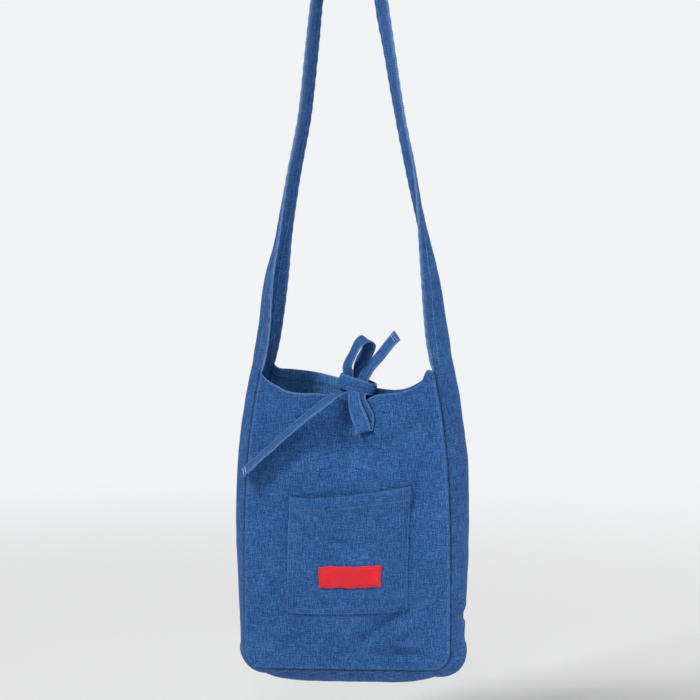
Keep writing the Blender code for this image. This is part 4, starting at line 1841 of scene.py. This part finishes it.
@dataclass
class Studio:
    """Pale floor, soft lights and the camera at the photograph's angle."""

    azimuth: float = radians(10)
    elevation: float = radians(7.5)
    distance: float = 3.2
    frame_width: float = 0.84
    target: Row = (-0.0025, 0.0, -0.579)
    floor_below: float = 0.10
    floor_reach: float = 14.0
    fade_start: float = 0.7
    fade_end: float = 2.0
    backdrop: Row = (0.93, 0.94, 0.95, 1.0)
    backdrop_strength: float = 0.95
    ambient: float = 0.12
    sensor: float = 36.0
    lamp_aim: Row = (0.0, 0.0, -0.75)

    def camera(self) -> None:
        """Set the camera."""
        az, el = self.azimuth, self.elevation
        look = Vector((-sin(az) * cos(el), cos(az) * cos(el), -sin(el)))
        data = bpy.data.cameras.new("camera")
        data.sensor_width = self.sensor
        data.lens = self.sensor * self.distance / self.frame_width
        data.clip_end = 60.0
        camera = bpy.data.objects.new("camera", data)
        camera.location = Vector(self.target) - look * self.distance
        camera.rotation_euler = look.to_track_quat("-Z", "Y").to_euler()
        bpy.context.scene.collection.objects.link(camera)
        bpy.context.scene.camera = camera

    def floor_material(self) -> bpy.types.Material:
        """Pale floor that keeps the shadow near the bag and fades into the background.

        Returns:
            The floor's material.
        """
        material = bpy.data.materials.new("pale_floor")
        material.use_nodes = True
        tree = material.node_tree
        shader = tree.nodes["Principled BSDF"]
        shader.inputs["Base Color"].default_value = (0.90, 0.90, 0.90, 1.0)
        shader.inputs["Roughness"].default_value = 0.9
        glow = tree.nodes.new("ShaderNodeEmission")
        glow.inputs["Color"].default_value = self.backdrop
        glow.inputs["Strength"].default_value = self.backdrop_strength
        place = tree.nodes.new("ShaderNodeTexCoord")
        length = tree.nodes.new("ShaderNodeVectorMath")
        length.operation = "LENGTH"
        fade = tree.nodes.new("ShaderNodeMapRange")
        fade.interpolation_type = "SMOOTHSTEP"
        fade.inputs["From Min"].default_value = self.fade_start
        fade.inputs["From Max"].default_value = self.fade_end
        rays = tree.nodes.new("ShaderNodeLightPath")
        blend = tree.nodes.new("ShaderNodeMixShader")
        tree.links.new(place.outputs["Object"], length.inputs[0])
        tree.links.new(length.outputs["Value"], fade.inputs["Value"])
        camera_ray = rays.outputs["Is Camera Ray"]
        seen = NodeGroups.math(tree, "MULTIPLY", fade.outputs["Result"], camera_ray)
        tree.links.new(seen, blend.inputs["Fac"])
        tree.links.new(shader.outputs["BSDF"], blend.inputs[1])
        tree.links.new(glow.outputs["Emission"], blend.inputs[2])
        tree.links.new(blend.outputs["Shader"], tree.nodes["Material Output"].inputs["Surface"])
        return material

    def floor(self) -> None:
        """Lay the floor below the bag."""
        low = CAD_BOX[0][2] - self.floor_below
        turns = ((-1, -1), (1, -1), (1, 1), (-1, 1))
        corners = [(x * self.floor_reach, y * self.floor_reach, 0.0) for x, y in turns]
        mesh = new_mesh("floor", corners, [(0, 1, 2, 3)], self.floor_material())
        floor = bpy.data.objects.new("floor", mesh)
        floor.location.z = low
        bpy.context.scene.collection.objects.link(floor)

    def lamp(self, name: str, place: Row, size: float, power: float) -> None:
        """Add a soft lamp aimed at the bag.

        Args:
            name: its name.
            place: where it stands.
            size: its width.
            power: its power in watts.
        """
        data = bpy.data.lights.new(name, "AREA")
        data.shape = "SQUARE"
        data.size = size
        data.energy = power
        lamp = bpy.data.objects.new(name, data)
        lamp.location = place
        aim = Vector(self.lamp_aim) - Vector(place)
        lamp.rotation_euler = aim.to_track_quat("-Z", "Y").to_euler()
        bpy.context.scene.collection.objects.link(lamp)

    def world(self) -> None:
        """Set the sky: pale to the camera, soft and dimmer as light."""
        world = bpy.data.worlds.new("studio")
        bpy.context.scene.world = world
        world.use_nodes = True
        tree = world.node_tree
        background = tree.nodes["Background"]
        rays = tree.nodes.new("ShaderNodeLightPath")
        ways = (rays.outputs["Is Camera Ray"], rays.outputs["Is Glossy Ray"])
        seen = NodeGroups.math(tree, "MAXIMUM", *ways)
        background.inputs["Color"].default_value = self.backdrop
        gain = self.backdrop_strength - self.ambient
        strength = NodeGroups.math(tree, "MULTIPLY_ADD", seen, gain, self.ambient)
        tree.links.new(strength, background.inputs["Strength"])

    def build(self) -> None:
        """Set up the whole studio."""
        self.camera()
        self.floor()
        self.world()
        for name, place, size, power in LAMPS:
            self.lamp(name, place, size, power)
        bpy.context.scene.view_settings.view_transform = "Standard"


FORM = BagForm.from_frame()

FRONT_EDGE: tuple[Row, ...] = (
    (-FORM.mouth_half_width, 0.0, -FORM.panel_seam),
    (-0.097, -0.009, -0.038),
    (-0.086, -0.016, -0.038),
    (-0.072, -0.0235, -0.037),
    (-0.052, -0.0265, -0.034),
    (-0.034, -0.0280, -0.0262),
    (-0.016, -0.0325, -0.0172),
    (0.002, -0.0390, -0.0125),
    (0.016, -0.0405, -0.0120),
    (0.022, -0.0360, -0.0125),
    (0.032, -0.0315, -0.0150),
    (0.060, -0.0275, -0.0225),
    (0.080, -0.0200, -0.0300),
    (0.089, -0.0130, -0.0335),
    (0.0955, 0.0005, -0.0368),
    (0.100, 0.0010, -0.0382),
    (FORM.mouth_half_width, 0.0, -FORM.panel_seam),
)
BACK_EDGE: tuple[Row, ...] = (
    (-FORM.mouth_half_width, 0.0, FORM.panel_seam),
    (-0.097, -0.0050, 0.038),
    (-0.082, -0.0060, 0.036),
    (-0.052, -0.0085, 0.028),
    (-0.030, -0.0120, 0.020),
    (0.006, -0.0210, 0.0140),
    (0.030, -0.0270, 0.0125),
    (0.058, -0.0285, 0.0110),
    (0.078, -0.0215, 0.0190),
    (0.091, -0.0100, 0.0320),
    (0.099, -0.0030, 0.0385),
    (FORM.mouth_half_width, 0.0, FORM.panel_seam),
)
FRONT_FOLDS = (
    Fold(
        ((0.101, -0.010), (0.085, -0.045), (0.058, -0.071), (0.023, -0.078), (-0.012, -0.067)),
        0.0042,
        0.0095,
    ),
    Fold(((-0.050, -0.072), (-0.012, -0.090), (0.024, -0.104), (0.036, -0.132)), -0.0030, 0.0110),
    Fold(
        ((0.104, -0.035), (0.099, -0.080), (0.088, -0.122), (0.079, -0.165), (0.077, -0.215)),
        -0.0034,
        0.0055,
    ),
    Fold(((0.107, -0.100), (0.104, -0.130), (0.092, -0.175)), 0.0036, 0.0060),
    Fold(((0.106, -0.145), (0.108, -0.205)), -0.0026, 0.0045),
    Fold(((0.113, -0.170), (0.114, -0.235)), 0.0026, 0.0050),
    Fold(((-0.093, -0.014), (-0.090, -0.040), (-0.070, -0.066)), 0.0022, 0.0062),
    Fold(((-0.078, -0.024), (-0.074, -0.050)), -0.0018, 0.0055),
    Fold(((-0.112, -0.100), (-0.110, -0.150)), -0.0026, 0.0050),
    Fold(((-0.001, -0.100), (0.000, -0.134)), -0.0016, 0.0050),
    Fold(((-0.060, -0.100), (-0.030, -0.125)), 0.0030, 0.0200),
    Fold(((-0.120, -0.232), (-0.094, -0.252), (-0.077, -0.292)), -0.0034, 0.0058),
    Fold(((-0.112, -0.250), (-0.092, -0.275)), 0.0034, 0.0090),
    Fold(((-0.100, -0.322), (-0.072, -0.334)), -0.0026, 0.0050),
    Fold(((-0.004, -0.347), (0.024, -0.323), (0.049, -0.301), (0.082, -0.283)), -0.0040, 0.0062),
    Fold(((0.020, -0.340), (0.060, -0.318), (0.092, -0.300)), 0.0036, 0.0070),
    Fold(((0.034, -0.343), (0.088, -0.343)), -0.0036, 0.0046),
    Fold(((0.036, -0.331), (0.090, -0.331), (0.114, -0.347)), 0.0032, 0.0050),
    Fold(((-0.017, -0.336), (-0.017, -0.358)), -0.0018, 0.0040),
    Fold(((-0.050, -0.190), (0.010, -0.215), (0.030, -0.205)), -0.0014, 0.0090),
    Fold(((0.050, -0.180), (0.040, -0.230), (0.045, -0.260)), -0.0012, 0.0070),
    Fold(((-0.095, -0.165), (-0.100, -0.215)), 0.0020, 0.0080),
)
BACK_FOLDS = (
    Fold(((-0.094, -0.020), (-0.070, -0.060), (-0.030, -0.075), (0.010, -0.070)), 0.0028, 0.0100),
    Fold(((0.094, -0.025), (0.070, -0.060), (0.030, -0.072)), 0.0024, 0.0090),
    Fold(((-0.108, -0.090), (-0.104, -0.160), (-0.108, -0.230)), 0.0030, 0.0070),
    Fold(((-0.096, -0.070), (-0.092, -0.150)), -0.0026, 0.0060),
    Fold(((0.108, -0.090), (0.104, -0.150), (0.110, -0.240)), 0.0032, 0.0070),
    Fold(((-0.085, -0.345), (-0.050, -0.318), (-0.010, -0.305)), -0.0036, 0.0065),
    Fold(((-0.080, -0.334), (-0.020, -0.336), (0.020, -0.342)), 0.0034, 0.0060),
    Fold(((0.112, -0.250), (0.092, -0.280), (0.080, -0.318)), -0.0030, 0.0060),
    Fold(((-0.030, -0.100), (0.010, -0.118), (0.050, -0.112)), -0.0030, 0.0110),
    Fold(((0.006, -0.150), (0.000, -0.240)), 0.0016, 0.0150),
)


def main() -> None:
    """Build the studio and every piece."""
    logging.basicConfig(level=logging.INFO, format="%(name)s: %(message)s")
    Studio().build()
    front = Panel(FORM, "front_panel_cloth", "front_panel", -1, FRONT_EDGE, FRONT_FOLDS)
    back = Panel(FORM, "back_panel_cloth", "back_panel", 1, BACK_EDGE, BACK_FOLDS)
    front.build()
    back.build()
    strip = GussetStrap(FORM)
    strip.build()
    strip.topstitch()
    pocket = Pocket(front)
    pocket.build()
    pocket.topstitch()
    label = Label.from_frame(pocket)
    label.build()
    label.topstitch()
    Bow(FORM, front, back).build()


if __name__ == "__main__":
    main()
